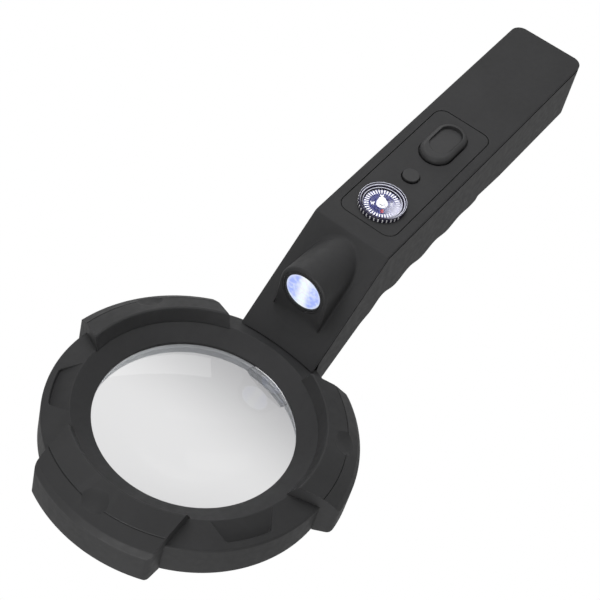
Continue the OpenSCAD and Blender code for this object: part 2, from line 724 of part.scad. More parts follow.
// From the board's far edge to the contacts in the cell bay
module cell_wire(side) on_handle() wire(bow([board_s + board_len + 0.3, 3.5 * side, -9.6], [3, 0, 0],
    [bay_near - 2.3, 6 * side, -12], [-2, 0, 1]), wire_r);
module lamp_wire_red() color("#b3201c") lamp_wire(1);
module lamp_wire_black() color("#151515") lamp_wire(-1);
module cell_wire_red() color("#b3201c") cell_wire(1);
module cell_wire_black() color("#151515") cell_wire(-1);

front_shell();
rear_shell();
bumper_left();
bumper_front();
bumper_right();
main_lens();
inset_lens();
lens_gasket();
lens_retainer();
retainer_screws();
lamp_bezel();
lamp_lens();
lamp_reflector();
lamp_led();
lamp_board();
control_panel();
compass_case();
compass_card();
compass_pivot();
compass_window();
lamp_button();
lamp_button_spring();
mode_button();
mode_button_spring();
lamp_switch();
mode_switch();
circuit_board();
driver_parts();
board_screws();
cell_left();
cell_right();
cell_springs();
cell_contacts();
battery_cover();
shell_screws();
lamp_wire_red();
lamp_wire_black();
cell_wire_red();
cell_wire_black();
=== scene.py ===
import json
from math import atan2, cos, hypot, pi, radians, sin, sqrt, tan

import bmesh
import bpy
from mathutils import Matrix, Vector


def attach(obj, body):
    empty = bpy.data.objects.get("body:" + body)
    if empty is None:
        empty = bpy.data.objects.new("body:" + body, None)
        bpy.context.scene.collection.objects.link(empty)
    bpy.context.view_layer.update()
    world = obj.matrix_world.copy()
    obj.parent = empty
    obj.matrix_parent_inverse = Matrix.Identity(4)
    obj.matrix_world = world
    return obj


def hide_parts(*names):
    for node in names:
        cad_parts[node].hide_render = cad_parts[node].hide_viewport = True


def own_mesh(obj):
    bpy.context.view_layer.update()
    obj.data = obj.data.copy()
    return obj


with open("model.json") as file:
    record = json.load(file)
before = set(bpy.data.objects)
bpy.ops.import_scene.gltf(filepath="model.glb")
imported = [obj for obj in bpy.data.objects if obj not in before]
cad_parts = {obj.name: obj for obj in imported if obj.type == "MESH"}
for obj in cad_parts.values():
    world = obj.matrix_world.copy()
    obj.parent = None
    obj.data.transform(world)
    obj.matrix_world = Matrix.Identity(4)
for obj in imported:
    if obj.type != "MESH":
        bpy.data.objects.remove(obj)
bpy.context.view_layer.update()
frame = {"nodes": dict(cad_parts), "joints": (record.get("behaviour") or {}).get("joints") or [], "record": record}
NODES = frame["nodes"]
JOINTS = {j["name"]: j for j in frame["joints"]}
SCENE = bpy.context.scene
MM = 0.001
# Sides of the large round pieces
RING_SEGMENTS = 288

# ---------- Design sizes, in mm ----------
# Head frame: origin on the lens axis, X towards the handle, Z along the lens axis.
# Handle frame: origin at the bend between neck and handle, X along the handle's top.
VIEW_R, RING_R, RING_DROP = 31.0, 45.8, 11.0
RIM_R, RIM_Z, RING_EDGE_Z = 37.5, 3.5, 0.5
LENS_R, LENS_SAG, LENS_EDGE, LENS_TOP, LIP_Z = 33.0, 3.6, 2.2, -1.45, -1.0
BUMPER_R, BUMPER_HALF, BUMPER_ANGLE = 51.0, 21.9, 59.3
HANDLE_LEN, HANDLE_W, HANDLE_T = 123.6, 28.7, 23.0
HANDLE_RISE, NECK_RISE = radians(8), radians(47)
NECK_ANGLE = NECK_RISE - HANDLE_RISE
BEND_X, BEND_Z = 69.8, 33.8
NECK_LEN = 46.0
CORNER_R, WALL, DECK_EDGE, SEAM, DECK_T, SLIP = 4.0, 2.0, 0.6, 1.0, 2.8, 0.1
RIB_FIRST, RIB_PITCH, RIB_HEIGHTS = -4.0, 15.5, (4.2, 2.2, 1.8, 1.6, 0.8)
RIB_LAST = RIB_FIRST + RIB_PITCH * (len(RIB_HEIGHTS) - 1)
VALLEY_Z, NOTCH_Z, FLAT_S, FLOOR_Z, END_ROUND = -22.6, -21.5, 76.0, -20.2, 3.0
HOOD_R, HOOD_Z, HOOD_X, BULKHEAD = 8.9, 22.9, 46.9, 2.6
LAMP_R, LAMP_DIP, LAMP_DROP, LAMP_SET, LAMP_DOME, BEZEL_SET = 6.4, radians(4), 0.4, 0.6, 0.4, 0.1
LAMP_BORE = LAMP_R + 0.75
PANEL_S, PANEL_LEN, PANEL_W, PANEL_T, PANEL_CORNER, PANEL_GAP = 6.4, 60.4, 21.6, 1.4, 3.7, 0.2
COMPASS_S, COMPASS_R, CASE_R, BORE_R = 16.5, 8.0, 7.0, 6.6
ROUND_S, ROUND_R, OVAL_S, OVAL_LEN, OVAL_W = 32.9, 2.9, 52.3, 20.0, 11.6
COVER_S, COVER_W, COVER_TOP, TONGUE_W, TONGUE_T = 64.0, 21.6, -19.2, 24.2, 0.9
SHELL_SCREWS = ((3.75, 8.9), (3.75, -8.9), (50.25, 8.9), (50.25, -8.9))

# ---------- Frames, read from the record's joints ----------
handle_axis = Vector(JOINTS["battery_cover_slide"]["axis"])
handle_dip = atan2(-handle_axis.z, handle_axis.x)
turn = Matrix.Rotation(handle_dip, 4, "Y")
pivot = Vector(JOINTS["compass_turn"]["pos_m"])
PIVOT_Z = -1.2
pivot_in_handle = Vector((COMPASS_S, 0, PIVOT_Z)) * MM
HANDLE = Matrix.Translation(pivot - turn @ pivot_in_handle) @ turn @ Matrix.Scale(MM, 4)
HEAD = HANDLE @ Matrix.Rotation(HANDLE_RISE, 4, "Y") @ Matrix.Translation((-BEND_X, 0, -BEND_Z))
LAMP = (HEAD @ Matrix.Translation((HOOD_X, 0, HOOD_Z)) @ Matrix.Rotation(pi / 2 - LAMP_DIP, 4, "Y")
        @ Matrix.Translation((LAMP_DROP, 0, 0)))
HANDLE_IN_HEAD = Matrix.Translation((BEND_X, 0, BEND_Z)) @ Matrix.Rotation(-HANDLE_RISE, 4, "Y")


def on_neck(down, depth):
    """A point of the handle frame's side view, down the neck and below its top."""
    return (depth * sin(NECK_ANGLE) - down * cos(NECK_ANGLE),
            -depth * cos(NECK_ANGLE) - down * sin(NECK_ANGLE))


def under_bend(depth):
    return (depth * tan(NECK_ANGLE / 2), -depth)


# ---------- Mesh helpers ----------

def new_object(name, mesh):
    obj = bpy.data.objects.new(name, mesh)
    SCENE.collection.objects.link(obj)
    return obj


def from_bmesh(name, bm):
    bmesh.ops.remove_doubles(bm, verts=bm.verts, dist=1e-5)
    bmesh.ops.recalc_face_normals(bm, faces=bm.faces)
    mesh = bpy.data.meshes.new(name)
    bm.to_mesh(mesh)
    bm.free()
    return new_object(name, mesh)


def drop(obj):
    mesh = obj.data
    bpy.data.objects.remove(obj)
    bpy.data.meshes.remove(mesh)


def bake(obj):
    """Applies the object's modifiers to its mesh."""
    graph = bpy.context.evaluated_depsgraph_get()
    made = bpy.data.meshes.new_from_object(obj.evaluated_get(graph))
    old = obj.data
    obj.modifiers.clear()
    obj.data = made
    bpy.data.meshes.remove(old)
    return obj


def move(obj, matrix):
    obj.data.transform(matrix)
    if matrix.determinant() < 0:
        obj.data.flip_normals()
    return obj


def shift(obj, x, y=0, z=0):
    return move(obj, Matrix.Translation((x, y, z)))


def rounded(points, steps=5):
    """A closed outline. Each point is (x, y) or (x, y, corner radius)."""
    out = []
    count = len(points)
    for i, point in enumerate(points):
        here = Vector(point[:2])
        radius = point[2] if len(point) > 2 else 0
        if not radius:
            out.append(tuple(here))
            continue
        back = Vector(points[i - 1][:2]) - here
        on = Vector(points[(i + 1) % count][:2]) - here
        reach = min(back.length, on.length) * 0.98
        back.normalize()
        on.normalize()
        half = back.angle(on) / 2
        run = min(radius / tan(half), reach)
        radius = run * tan(half)
        centre = here + (back + on).normalized() * (radius / sin(half))
        start = here + back * run - centre
        end = here + on * run - centre
        a0, a1 = atan2(start.y, start.x), atan2(end.y, end.x)
        sweep = (a1 - a0 + pi) % (2 * pi) - pi
        for k in range(steps + 1):
            a = a0 + sweep * k / steps
            out.append((centre.x + radius * cos(a), centre.y + radius * sin(a)))
    return out


def revolve(name, profile, segments=192):
    """A closed profile of (radius, height) turned about Z."""
    bm = bmesh.new()
    rows = [[bm.verts.new((r * cos(2 * pi * k / segments), r * sin(2 * pi * k / segments), z))
            for r, z in profile]
            for k in range(segments)]
    for k in range(segments):
        a, b = rows[k], rows[(k + 1) % segments]
        for i in range(len(profile)):
            j = (i + 1) % len(profile)
            if profile[i][0] < 1e-6 and profile[j][0] < 1e-6:
                continue
            bm.faces.new((a[i], b[i], b[j], a[j]))
    bmesh.ops.remove_doubles(bm, verts=bm.verts, dist=1e-5)
    bmesh.ops.dissolve_degenerate(bm, edges=bm.edges, dist=1e-6)
    return from_bmesh(name, bm)


PLANES = {"x": lambda u, v, d: (d, u, v), "y": lambda u, v, d: (u, d, v), "z": lambda u, v, d: (u, v, d)}


def prism(name, outline, low, high, axis="z"):
    """An outline run along one axis from low to high."""
    place = PLANES[axis]
    bm = bmesh.new()
    bottom = [bm.verts.new(place(u, v, low)) for u, v in outline]
    top = [bm.verts.new(place(u, v, high)) for u, v in outline]
    bm.faces.new(bottom)
    bm.faces.new(top)
    for i in range(len(outline)):
        j = (i + 1) % len(outline)
        bm.faces.new((bottom[i], bottom[j], top[j], top[i]))
    return from_bmesh(name, bm)


def loft(name, rings):
    """Closed rings with the same number of points, joined in turn and capped."""
    bm = bmesh.new()
    rows = [[bm.verts.new(p) for p in ring] for ring in rings]
    n = len(rings[0])
    for a, b in zip(rows, rows[1:]):
        for i in range(n):
            j = (i + 1) % n
            bm.faces.new((a[i], a[j], b[j], b[i]))
    bm.faces.new(rows[0])
    bm.faces.new(rows[-1])
    return from_bmesh(name, bm)


def box(name, low, high):
    return prism(name, [(low[0], low[1]), (high[0], low[1]), (high[0], high[1]), (low[0], high[1])],
                 low[2], high[2])


def disc(name, radius, low, high, segments=96):
    return prism(name, [(radius * cos(2 * pi * k / segments), radius * sin(2 * pi * k / segments))
                        for k in range(segments)], low, high)


def carve(obj, cutter, operation="DIFFERENCE"):
    cut = obj.modifiers.new("cut", "BOOLEAN")
    cut.operation = operation
    cut.solver = "EXACT"
    cut.object = cutter
    bake(obj)
    drop(cutter)
    return obj


def tidy(bm):
    bmesh.ops.remove_doubles(bm, verts=bm.verts, dist=2e-4)
    bmesh.ops.dissolve_degenerate(bm, edges=bm.edges, dist=2e-4)
    bmesh.ops.dissolve_limit(bm, angle_limit=radians(0.4), verts=bm.verts, edges=bm.edges)


def soften(obj, width, pick=lambda mid, edge: True, segments=3, sharp=radians(24)):
    """Rounds the sharp edges that pick accepts."""
    bm = bmesh.new()
    bm.from_mesh(obj.data)
    tidy(bm)
    weight = bm.edges.layers.float.new("bevel_weight_edge")
    for edge in bm.edges:
        if len(edge.link_faces) == 2 and edge.calc_face_angle(0) > sharp:
            mid = (edge.verts[0].co + edge.verts[1].co) / 2
            if pick(mid, edge):
                edge[weight] = 1.0
    bm.to_mesh(obj.data)
    bm.free()
    bevel = obj.modifiers.new("round", "BEVEL")
    bevel.limit_method = "WEIGHT"
    bevel.width = width
    bevel.segments = segments
    bevel.use_clamp_overlap = True
    bake(obj)
    layer = obj.data.attributes.get("bevel_weight_edge")
    if layer:
        obj.data.attributes.remove(layer)
    return obj


def shade(obj, sharp=radians(32)):
    bm = bmesh.new()
    bm.from_mesh(obj.data)
    for face in bm.faces:
        face.smooth = True
    for edge in bm.edges:
        edge.smooth = len(edge.link_faces) == 2 and edge.calc_face_angle(0) < sharp
    bm.to_mesh(obj.data)
    bm.free()
    even = obj.modifiers.new("even", "WEIGHTED_NORMAL")
    even.keep_sharp = True
    even.weight = 60
    return bake(obj)


def piece(obj, matrix, body, material, replaces=()):
    """Places a finished piece in the row frame and hands it to its CAD body."""
    shade(obj)
    spots = [c for v in obj.data.vertices for c in v.co]
    obj.data.attributes.new("spot", "FLOAT_VECTOR", "POINT").data.foreach_set("vector", spots)
    move(obj, matrix)
    obj.data.materials.clear()
    obj.data.materials.append(material)
    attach(obj, body)
    if replaces:
        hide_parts(*replaces)
    return obj


def stadium(length, width, inset=0.0, steps=16, shift=0.0):
    """Points of an oval outline with straight sides."""
    r = width / 2 - inset
    half = (length - width) / 2
    out = []
    for side, a0 in ((1, -pi / 2), (-1, pi / 2)):
        for k in range(steps + 1):
            a = a0 + pi * k / steps
            out.append((side * half + r * cos(a) + shift, r * sin(a)))
    return out


def rounded_rect(x0, x1, half, radius, steps=6):
    return rounded([(x0, -half, radius), (x1, -half, radius), (x1, half, radius), (x0, half, radius)], steps)


# ---------- Materials ----------

class Graph:
    """Short way to wire a node tree."""

    def __init__(self, name):
        self.material = bpy.data.materials.new(name)
        self.material.use_nodes = True
        self.tree = self.material.node_tree
        self.tree.nodes.clear()
        self.out = self.add("ShaderNodeOutputMaterial")

    def add(self, kind, settings=None, **inputs):
        node = self.tree.nodes.new(kind)
        for key, value in (settings or {}).items():
            setattr(node, key, value)
        for key, value in inputs.items():
            self.put(node.inputs[key.replace("_", " ")], value)
        return node

    def put(self, socket, value):
        if isinstance(value, bpy.types.NodeSocket):
            self.tree.links.new(value, socket)
        elif socket.type == "RGBA" and not hasattr(value, "__len__"):
            socket.default_value = (value, value, value, 1)
        elif socket.type == "RGBA":
            socket.default_value = (*value[:3], 1)
        else:
            socket.default_value = value

    def maths(self, operation, a, b=0.0, clamp=False):
        node = self.tree.nodes.new("ShaderNodeMath")
        node.operation = operation
        node.use_clamp = clamp
        self.put(node.inputs[0], a)
        self.put(node.inputs[1], b)
        return node.outputs[0]

    def blend(self, factor, a, b):
        node = self.tree.nodes.new("ShaderNodeMix")
        node.data_type = "RGBA"
        self.put(node.inputs["Factor"], factor)
        self.put(node.inputs[6], a)
        self.put(node.inputs[7], b)
        return node.outputs[2]

    def noise(self, scale, detail=4.0, roughness=0.5):
        spot = self.add("ShaderNodeTexCoord").outputs["Object"]
        node = self.add("ShaderNodeTexNoise", Vector=spot, Scale=scale, Detail=detail, Roughness=roughness)
        return node.outputs["Fac"]

    def spot(self):
        """Place on the piece, in mm of its own frame."""
        return self.add("ShaderNodeAttribute", {"attribute_name": "spot"}).outputs["Vector"]

    def axis(self, name):
        return self.add("ShaderNodeSeparateXYZ", Vector=self.spot()).outputs[name]

    def ramp(self, value, low, high, to_low=0.0, to_high=1.0):
        node = self.add("ShaderNodeMapRange", Value=value)
        for key, number in (("From Min", low), ("From Max", high), ("To Min", to_low), ("To Max", to_high)):
            node.inputs[key].default_value = number
        return node.outputs["Result"]

    def surface(self, shader):
        self.tree.links.new(shader.outputs[0], self.out.inputs["Surface"])
        return self.material


def plastic(name, colour, rough=0.5, grain=0.25, edge_wear_and_highlight=0.35, specular=0.5, grain_scale=5200.0):
    """Moulded plastic: spark-eroded grain, faint handling marks, slightly polished raised edges whose lighter
    colour is partly wear and partly a painted highlight.
    """
    g = Graph(name)
    fine = g.noise(grain_scale, 2.0)
    clouds = g.noise(60.0, 5.0, 0.6)
    smear = g.noise(420.0, 4.0, 0.55)
    edge = g.ramp(g.add("ShaderNodeNewGeometry").outputs["Pointiness"], 0.51, 0.56)
    edge_highlight_colour = tuple(c * 1.35 + 0.006 for c in colour)
    darker = tuple(c * 0.88 for c in colour)
    base = g.blend(g.ramp(clouds, 0.35, 0.65), darker, colour)
    # Raised edges are made lighter in colour: partly handling wear, partly a painted highlight
    base = g.blend(g.maths("MULTIPLY", edge, edge_wear_and_highlight), base, edge_highlight_colour)
    roughness = g.ramp(smear, 0.3, 0.7, rough - 0.06, rough + 0.07)
    roughness = g.maths("SUBTRACT", roughness, g.maths("MULTIPLY", edge, 0.12 * edge_wear_and_highlight), clamp=True)
    grained = g.add("ShaderNodeBump", Strength=grain, Distance=0.00004, Height=fine)
    waves = g.add("ShaderNodeBump", Strength=0.03, Distance=0.0002, Height=clouds, Normal=grained.outputs[0])
    shader = g.add("ShaderNodeBsdfPrincipled", Base_Color=base, Roughness=roughness, Normal=waves.outputs[0])
    shader.inputs["Specular IOR Level"].default_value = specular
    return g.surface(shader)


def metal(name, colour, rough=0.2, streak=0.1, brushed=0.0):
    g = Graph(name)
    marks = g.noise(2200.0, 6.0, 0.7)
    stains = g.noise(300.0, 3.0)
    roughness = g.ramp(marks, 0.3, 0.7, max(rough - streak, 0.02), rough + streak)
    base = g.blend(g.ramp(stains, 0.4, 0.7), tuple(c * 0.86 for c in colour), colour)
    dents = g.add("ShaderNodeBump", Strength=0.08 + brushed, Distance=0.00003, Height=marks)
    shader = g.add("ShaderNodeBsdfPrincipled", Base_Color=base, Roughness=roughness, Metallic=1.0,
                   Normal=dents.outputs[0])
    return g.surface(shader)


def glass(name, tint=(1, 1, 1), rough=0.0, ior=1.5, smudge=0.02):
    """Clear moulded optics with faint handling smudges."""
    g = Graph(name)
    smear = g.noise(90.0, 5.0, 0.65)
    roughness = g.ramp(smear, 0.55, 0.8, rough, rough + smudge)
    shader = g.add("ShaderNodeBsdfPrincipled", Base_Color=tint, Roughness=roughness, IOR=ior)
    shader.inputs["Transmission Weight"].default_value = 1.0
    return g.surface(shader)


def lens_with_painted_shade(name, near, far, smudge=0.015):
    """Clear optics with painted shade that darkens the tint towards the handle, with faint handling smudges."""
    g = Graph(name)
    smear = g.noise(90.0, 5.0, 0.65)
    roughness = g.ramp(smear, 0.55, 0.8, 0.0, smudge)
    # Painted shade: the tint darkens along the piece's X, towards the handle
    handle_side_shade = g.add("ShaderNodeMapRange", {"interpolation_type": "SMOOTHSTEP"}, Value=g.axis("X"))
    handle_side_shade.inputs["From Min"].default_value = -8.0
    handle_side_shade.inputs["From Max"].default_value = 36.0
    tint = g.blend(handle_side_shade.outputs["Result"], near, far)
    shader = g.add("ShaderNodeBsdfPrincipled", Base_Color=tint, Roughness=roughness, IOR=1.49)
    shader.inputs["Transmission Weight"].default_value = 1.0
    return g.surface(shader)


def window_with_painted_glare(name):
    """Clear dome with a painted reflection of glare: a pale patch laid over one part of it."""
    g = Graph(name)
    smear = g.noise(900.0, 4.0, 0.6)
    # Painted glare: a pale reflection laid over the dome, strongest round one point
    away = g.add("ShaderNodeVectorMath", {"operation": "DISTANCE"}, Vector=g.spot())
    away.inputs[1].default_value = (0.5, -6.2, 0.9)
    painted_glare = g.maths("MULTIPLY", g.ramp(away.outputs["Value"], 5.6, 1.5, 0.0, 0.62),
                    g.ramp(smear, 0.3, 0.7, 0.8, 1.0))
    clear = g.add("ShaderNodeBsdfPrincipled", Base_Color=(0.98, 0.98, 1.0), Roughness=0.0, IOR=1.2)
    clear.inputs["Transmission Weight"].default_value = 1.0
    pale = g.add("ShaderNodeBsdfPrincipled", Base_Color=(0.74, 0.74, 0.86),
                 Roughness=g.ramp(smear, 0.3, 0.7, 0.2, 0.35))
    mixed = g.add("ShaderNodeMixShader")
    g.put(mixed.inputs[0], painted_glare)
    g.tree.links.new(clear.outputs[0], mixed.inputs[1])
    g.tree.links.new(pale.outputs[0], mixed.inputs[2])
    return g.surface(mixed)


def painted_highlight_lip(name):
    """Painted highlight on the capsule's edges: bright on the far side, fading to dark on the side that faces the
    lens.
    """
    g = Graph(name)
    smear = g.noise(1500.0, 4.0, 0.6)
    # Painted highlight: colour runs from dark on the lens side to bright on the far side
    lit = g.ramp(g.axis("X"), -5.5, -1.0)
    base = g.blend(lit, (0.05, 0.045, 0.09), (0.80, 0.81, 0.93))
    shader = g.add("ShaderNodeBsdfPrincipled", Base_Color=base, Roughness=g.ramp(smear, 0.3, 0.7, 0.1, 0.2))
    shader.inputs["Coat Weight"].default_value = 0.6
    return g.surface(shader)


def frosted(name, colour, rough=0.35, clear=0.6, lit_through=0.06):
    """Milky moulding that gives off a little light, to stand in for light passing through it."""
    g = Graph(name)
    fine = g.noise(1500.0, 3.0)
    grain = g.add("ShaderNodeBump", Strength=0.2, Distance=0.00005, Height=fine)
    roughness = g.ramp(g.noise(200.0, 4.0), 0.3, 0.7, rough - 0.06, rough + 0.06)
    shader = g.add("ShaderNodeBsdfPrincipled", Base_Color=colour, Roughness=roughness,
                   IOR=1.45, Normal=grain.outputs[0])
    shader.inputs["Transmission Weight"].default_value = clear
    shader.inputs["Emission Color"].default_value = (*colour, 1)
    shader.inputs["Emission Strength"].default_value = lit_through
    return g.surface(shader)


def lamp_glow(name):
    """Lit lamp lens: white across the middle, lavender-blue lobes on two sides, broken up by facets."""
    g = Graph(name)
    side = g.maths("ABSOLUTE", g.axis("Y"))
    cells = g.add("ShaderNodeTexVoronoi", {"feature": "F1"}, Vector=g.spot(), Scale=1.2, Randomness=1.0)
    tone = g.add("ShaderNodeSeparateColor", Color=cells.outputs["Color"]).outputs[0]
    blur = g.add("ShaderNodeTexNoise", Vector=g.spot(), Scale=0.6, Detail=3.0).outputs["Fac"]
    lobe = g.ramp(side, 0.9, 3.0)
    amount = g.maths("MULTIPLY", lobe, g.ramp(blur, 0.35, 0.6, 0.45, 0.95))
    amount = g.maths("ADD", amount, g.maths("MULTIPLY", tone, 0.14), clamp=True)
    radius = g.add("ShaderNodeVectorMath", {"operation": "LENGTH"}, Vector=g.spot()).outputs["Value"]
    amount = g.maths("MULTIPLY", amount, g.ramp(radius, 5.5, 6.4, 1.0, 0.5))
    white = g.blend(0.1, (0.94, 0.99, 1.0), cells.outputs["Color"])
    colour = g.blend(amount, white, (0.36, 0.45, 0.93))
    facets = g.add("ShaderNodeBump", Strength=0.3, Distance=0.0004, Height=cells.outputs["Distance"])
    shader = g.add("ShaderNodeBsdfPrincipled", Base_Color=(0.06, 0.065, 0.08),
                   Roughness=g.ramp(blur, 0.3, 0.7, 0.1, 0.22),
                   Normal=facets.outputs[0], Emission_Color=colour)
    shader.inputs["Emission Strength"].default_value = 1.0
    return g.surface(shader)


SHELL = plastic("shell_plastic", (0.036, 0.036, 0.037), rough=0.55, grain=0.1, edge_wear_and_highlight=0.1, specular=0.4)
BUMPER = plastic("bumper_plastic", (0.037, 0.037, 0.038), rough=0.53, grain=0.1,
                 edge_wear_and_highlight=0.1, specular=0.4, grain_scale=4600.0)
PANEL = plastic("panel_plastic", (0.037, 0.037, 0.038), rough=0.55, grain=0.1, edge_wear_and_highlight=0.1, specular=0.4)
BUTTON = plastic("button_rubber", (0.050, 0.050, 0.051), rough=0.5, grain=0.12, edge_wear_and_highlight=0.1, specular=0.4)
BEZEL = plastic("bezel_plastic", (0.026, 0.026, 0.027), rough=0.42, grain=0.1)
# The clear capsule is drawn as dark glossy plastic: painted shade for the dark inside seen through it
CAPSULE_PAINTED_DARK = plastic("compass_capsule", (0.016, 0.014, 0.030), rough=0.14, grain=0.02, edge_wear_and_highlight=0.1)
RIM_PAINTED_HIGHLIGHT = painted_highlight_lip("compass_lip_painted_highlight")
WINDOW_CLEAR = window_with_painted_glare("compass_window_clear")
# Painted shade on the lens: near colour on the far side from the handle, darker colour towards the handle
GLASS_NEAR, GLASS_FAR_SHADED = (0.80, 0.80, 0.805), (0.44, 0.44, 0.45)
LENS_BACK = lens_with_painted_shade("lens_glass_back", GLASS_NEAR, GLASS_FAR_SHADED)
LENS_BACK.node_tree.nodes["Principled BSDF"].inputs["Specular Tint"].default_value = (0, 0, 0, 1)
LENS_GLASS = lens_with_painted_shade("lens_glass", GLASS_NEAR, GLASS_FAR_SHADED)
INSET_GLASS = lens_with_painted_shade("inset_glass", (0.99, 0.99, 0.99), (0.97, 0.97, 0.975))
RETAINER = frosted("retainer_frosted", (0.80, 0.82, 0.84))
GASKET = frosted("gasket_silicone", (0.85, 0.86, 0.87), 0.5, 0.3, 0.24)
GLOW = lamp_glow("lamp_lit")
DIAL_BLUE = plastic("dial_print", (0.030, 0.033, 0.13), rough=0.35, grain=0.05, edge_wear_and_highlight=0.0)
DIAL_GREY = plastic("dial_grey", (0.16, 0.18, 0.20), rough=0.4, grain=0.05, edge_wear_and_highlight=0.0)
DIAL_WHITE = plastic("dial_white", (0.8, 0.8, 0.82), rough=0.4, grain=0.05, edge_wear_and_highlight=0.0)
DIAL_RED = plastic("dial_red", (0.55, 0.05, 0.05), rough=0.4, grain=0.05, edge_wear_and_highlight=0.0)

# ---------- Lens head ----------

def make_ring():
    profile = rounded([
        (VIEW_R, 0.0, 0.3), (RIM_R, RIM_Z, 0.45), (RING_R, RING_EDGE_Z, 0.9), (RING_R, -RING_DROP, 0.6),
        (40.2, -RING_DROP, 0.2), (40.2, -9.3), (LENS_R + 0.3, -9.3),
        (LENS_R + 0.3, LIP_Z), (VIEW_R, LIP_Z, 0.15)], 4)
    ring = revolve("front_shell_ring", profile, RING_SEGMENTS)
    for side in (1, -1):
        carve(ring, move(pocket_cutter(), Matrix.Rotation(side * radians(120), 4, "Z")))
    return ring


def pocket_cutter(steps=18):
    """Wedge-shaped recess between two bumpers: level at the rim, deepest at its outer wall."""
    slope = (RIM_Z - RING_EDGE_Z) / (RING_R - RIM_R)
    inner, outer, near, far = RIM_R + 0.35, 43.4, 9.6, 6.9
    levels = ((-2.0, 0.8), (-0.1, 0.5), (0.06, 0.24), (0.3, 0.06),
              (0.6, 0.0), (1.15, -0.1), (1.45, -0.3), (1.55, -0.6))
    rings = []
    for depth, grow in levels:
        r0, r1 = inner - max(grow, 0.0), outer + grow
        half0, half1 = near + grow, far + grow
        inside = [(half0 * (2 * k / steps - 1), r0) for k in range(steps + 1)]
        outside = [(half1 * 0.8 * (1 - 2 * k / steps), r1) for k in range(steps + 1)]
        plan = rounded(inside + [(half1, r1, 1.3)] + outside + [(-half1, r1, 1.3)], 5)
        ring = []
        for across, r in plan:
            a = across / r
            sunk = depth if depth < 0 else depth * max(0.03, (r - inner) / (outer - inner))
            ring.append((r * cos(a), r * sin(a), RIM_Z - (r - RIM_R) * slope - sunk))
        rings.append(ring)
    return loft("pocket", rings)


def make_bumper(name, angle):
    turned = Matrix.Rotation(radians(angle), 4, "Z")
    section = rounded([
        (RING_R - 0.02, RING_EDGE_Z), (RIM_R, RIM_Z - 0.02), (36.75, 3.1, 0.15),
        (39, 7.6, 0.7), (45.9, 4.6, 0.8),
        (49.7, 1.5, 1.6), (BUMPER_R, -0.6, 1.5), (BUMPER_R, -RING_DROP, 0.7), (RING_R - 0.02, -RING_DROP)], 4)
    body = revolve(name, section, RING_SEGMENTS)
    corner = 2.6
    x = sqrt((BUMPER_R - corner) ** 2 - (BUMPER_HALF - corner) ** 2)
    arc = atan2(BUMPER_HALF - corner, x)
    plan = [(5, -BUMPER_HALF)]
    plan += [(x + corner * sin(a), -(BUMPER_HALF - corner) - corner * cos(a))
             for a in [(pi / 2 - arc) * k / 6 for k in range(7)]]
    plan += [(60 * cos(a), 60 * sin(a)) for a in (-arc, arc)]
    plan += [(x + corner * sin(a), (BUMPER_HALF - corner) + corner * cos(a))
             for a in [(pi / 2 - arc) * (1 - k / 6) for k in range(7)]]
    plan += [(5, BUMPER_HALF)]
    carve(body, prism("plan", plan, -20, 20), "INTERSECT")

    def end_edge(mid, edge):
        along = edge.verts[1].co - edge.verts[0].co
        upright = abs(along.z) > 0.9 * along.length and mid.z < -1
        return abs(mid.y) > BUMPER_HALF - corner - 0.5 and mid.x > 30 and hypot(mid.x, mid.y) > 37.3 and not (
            upright and hypot(mid.x, mid.y) < RING_R + 0.2)
    soften(body, 0.6, end_edge, 3)
    half = 0.42
    groove = revolve("groove", [(45.9 - half, 4.6 + half + 0.25), (45.9 + half * 0.3, 4.6 - half),
                                (45.9 + half, 4.6 + 0.3),
                                (45.9 + half, 6), (45.9 - half, 6)], RING_SEGMENTS)
    carve(body, groove)
    lean, ball_r, dimple_r = radians(29), 9.0, 4.4
    up = sqrt(ball_r ** 2 - dimple_r ** 2)
    bm = bmesh.new()
    bmesh.ops.create_uvsphere(bm, u_segments=96, v_segments=64, radius=ball_r)
    ball = from_bmesh("ball", bm)
    carve(body, move(ball, Matrix.Translation((45 + up * sin(lean), 0, 5 + up * cos(lean)))))

    def dimple_edge(mid, edge):
        return hypot(mid.x - 45, mid.y) < dimple_r + 1 and abs(mid.y) < dimple_r + 0.8 and mid.z > 0
    soften(body, 0.3, dimple_edge, 2)
    return move(body, turned)


ring = make_ring()

# ---------- Neck, handle top and hood ----------

def wand_plan(inset=0.0, steps=10):
    w, reach = HANDLE_W / 2 - inset, HANDLE_LEN - inset
    return rounded([(-70, -w), (reach, -w, CORNER_R - inset), (reach, w, CORNER_R - inset), (-70, w)], steps)


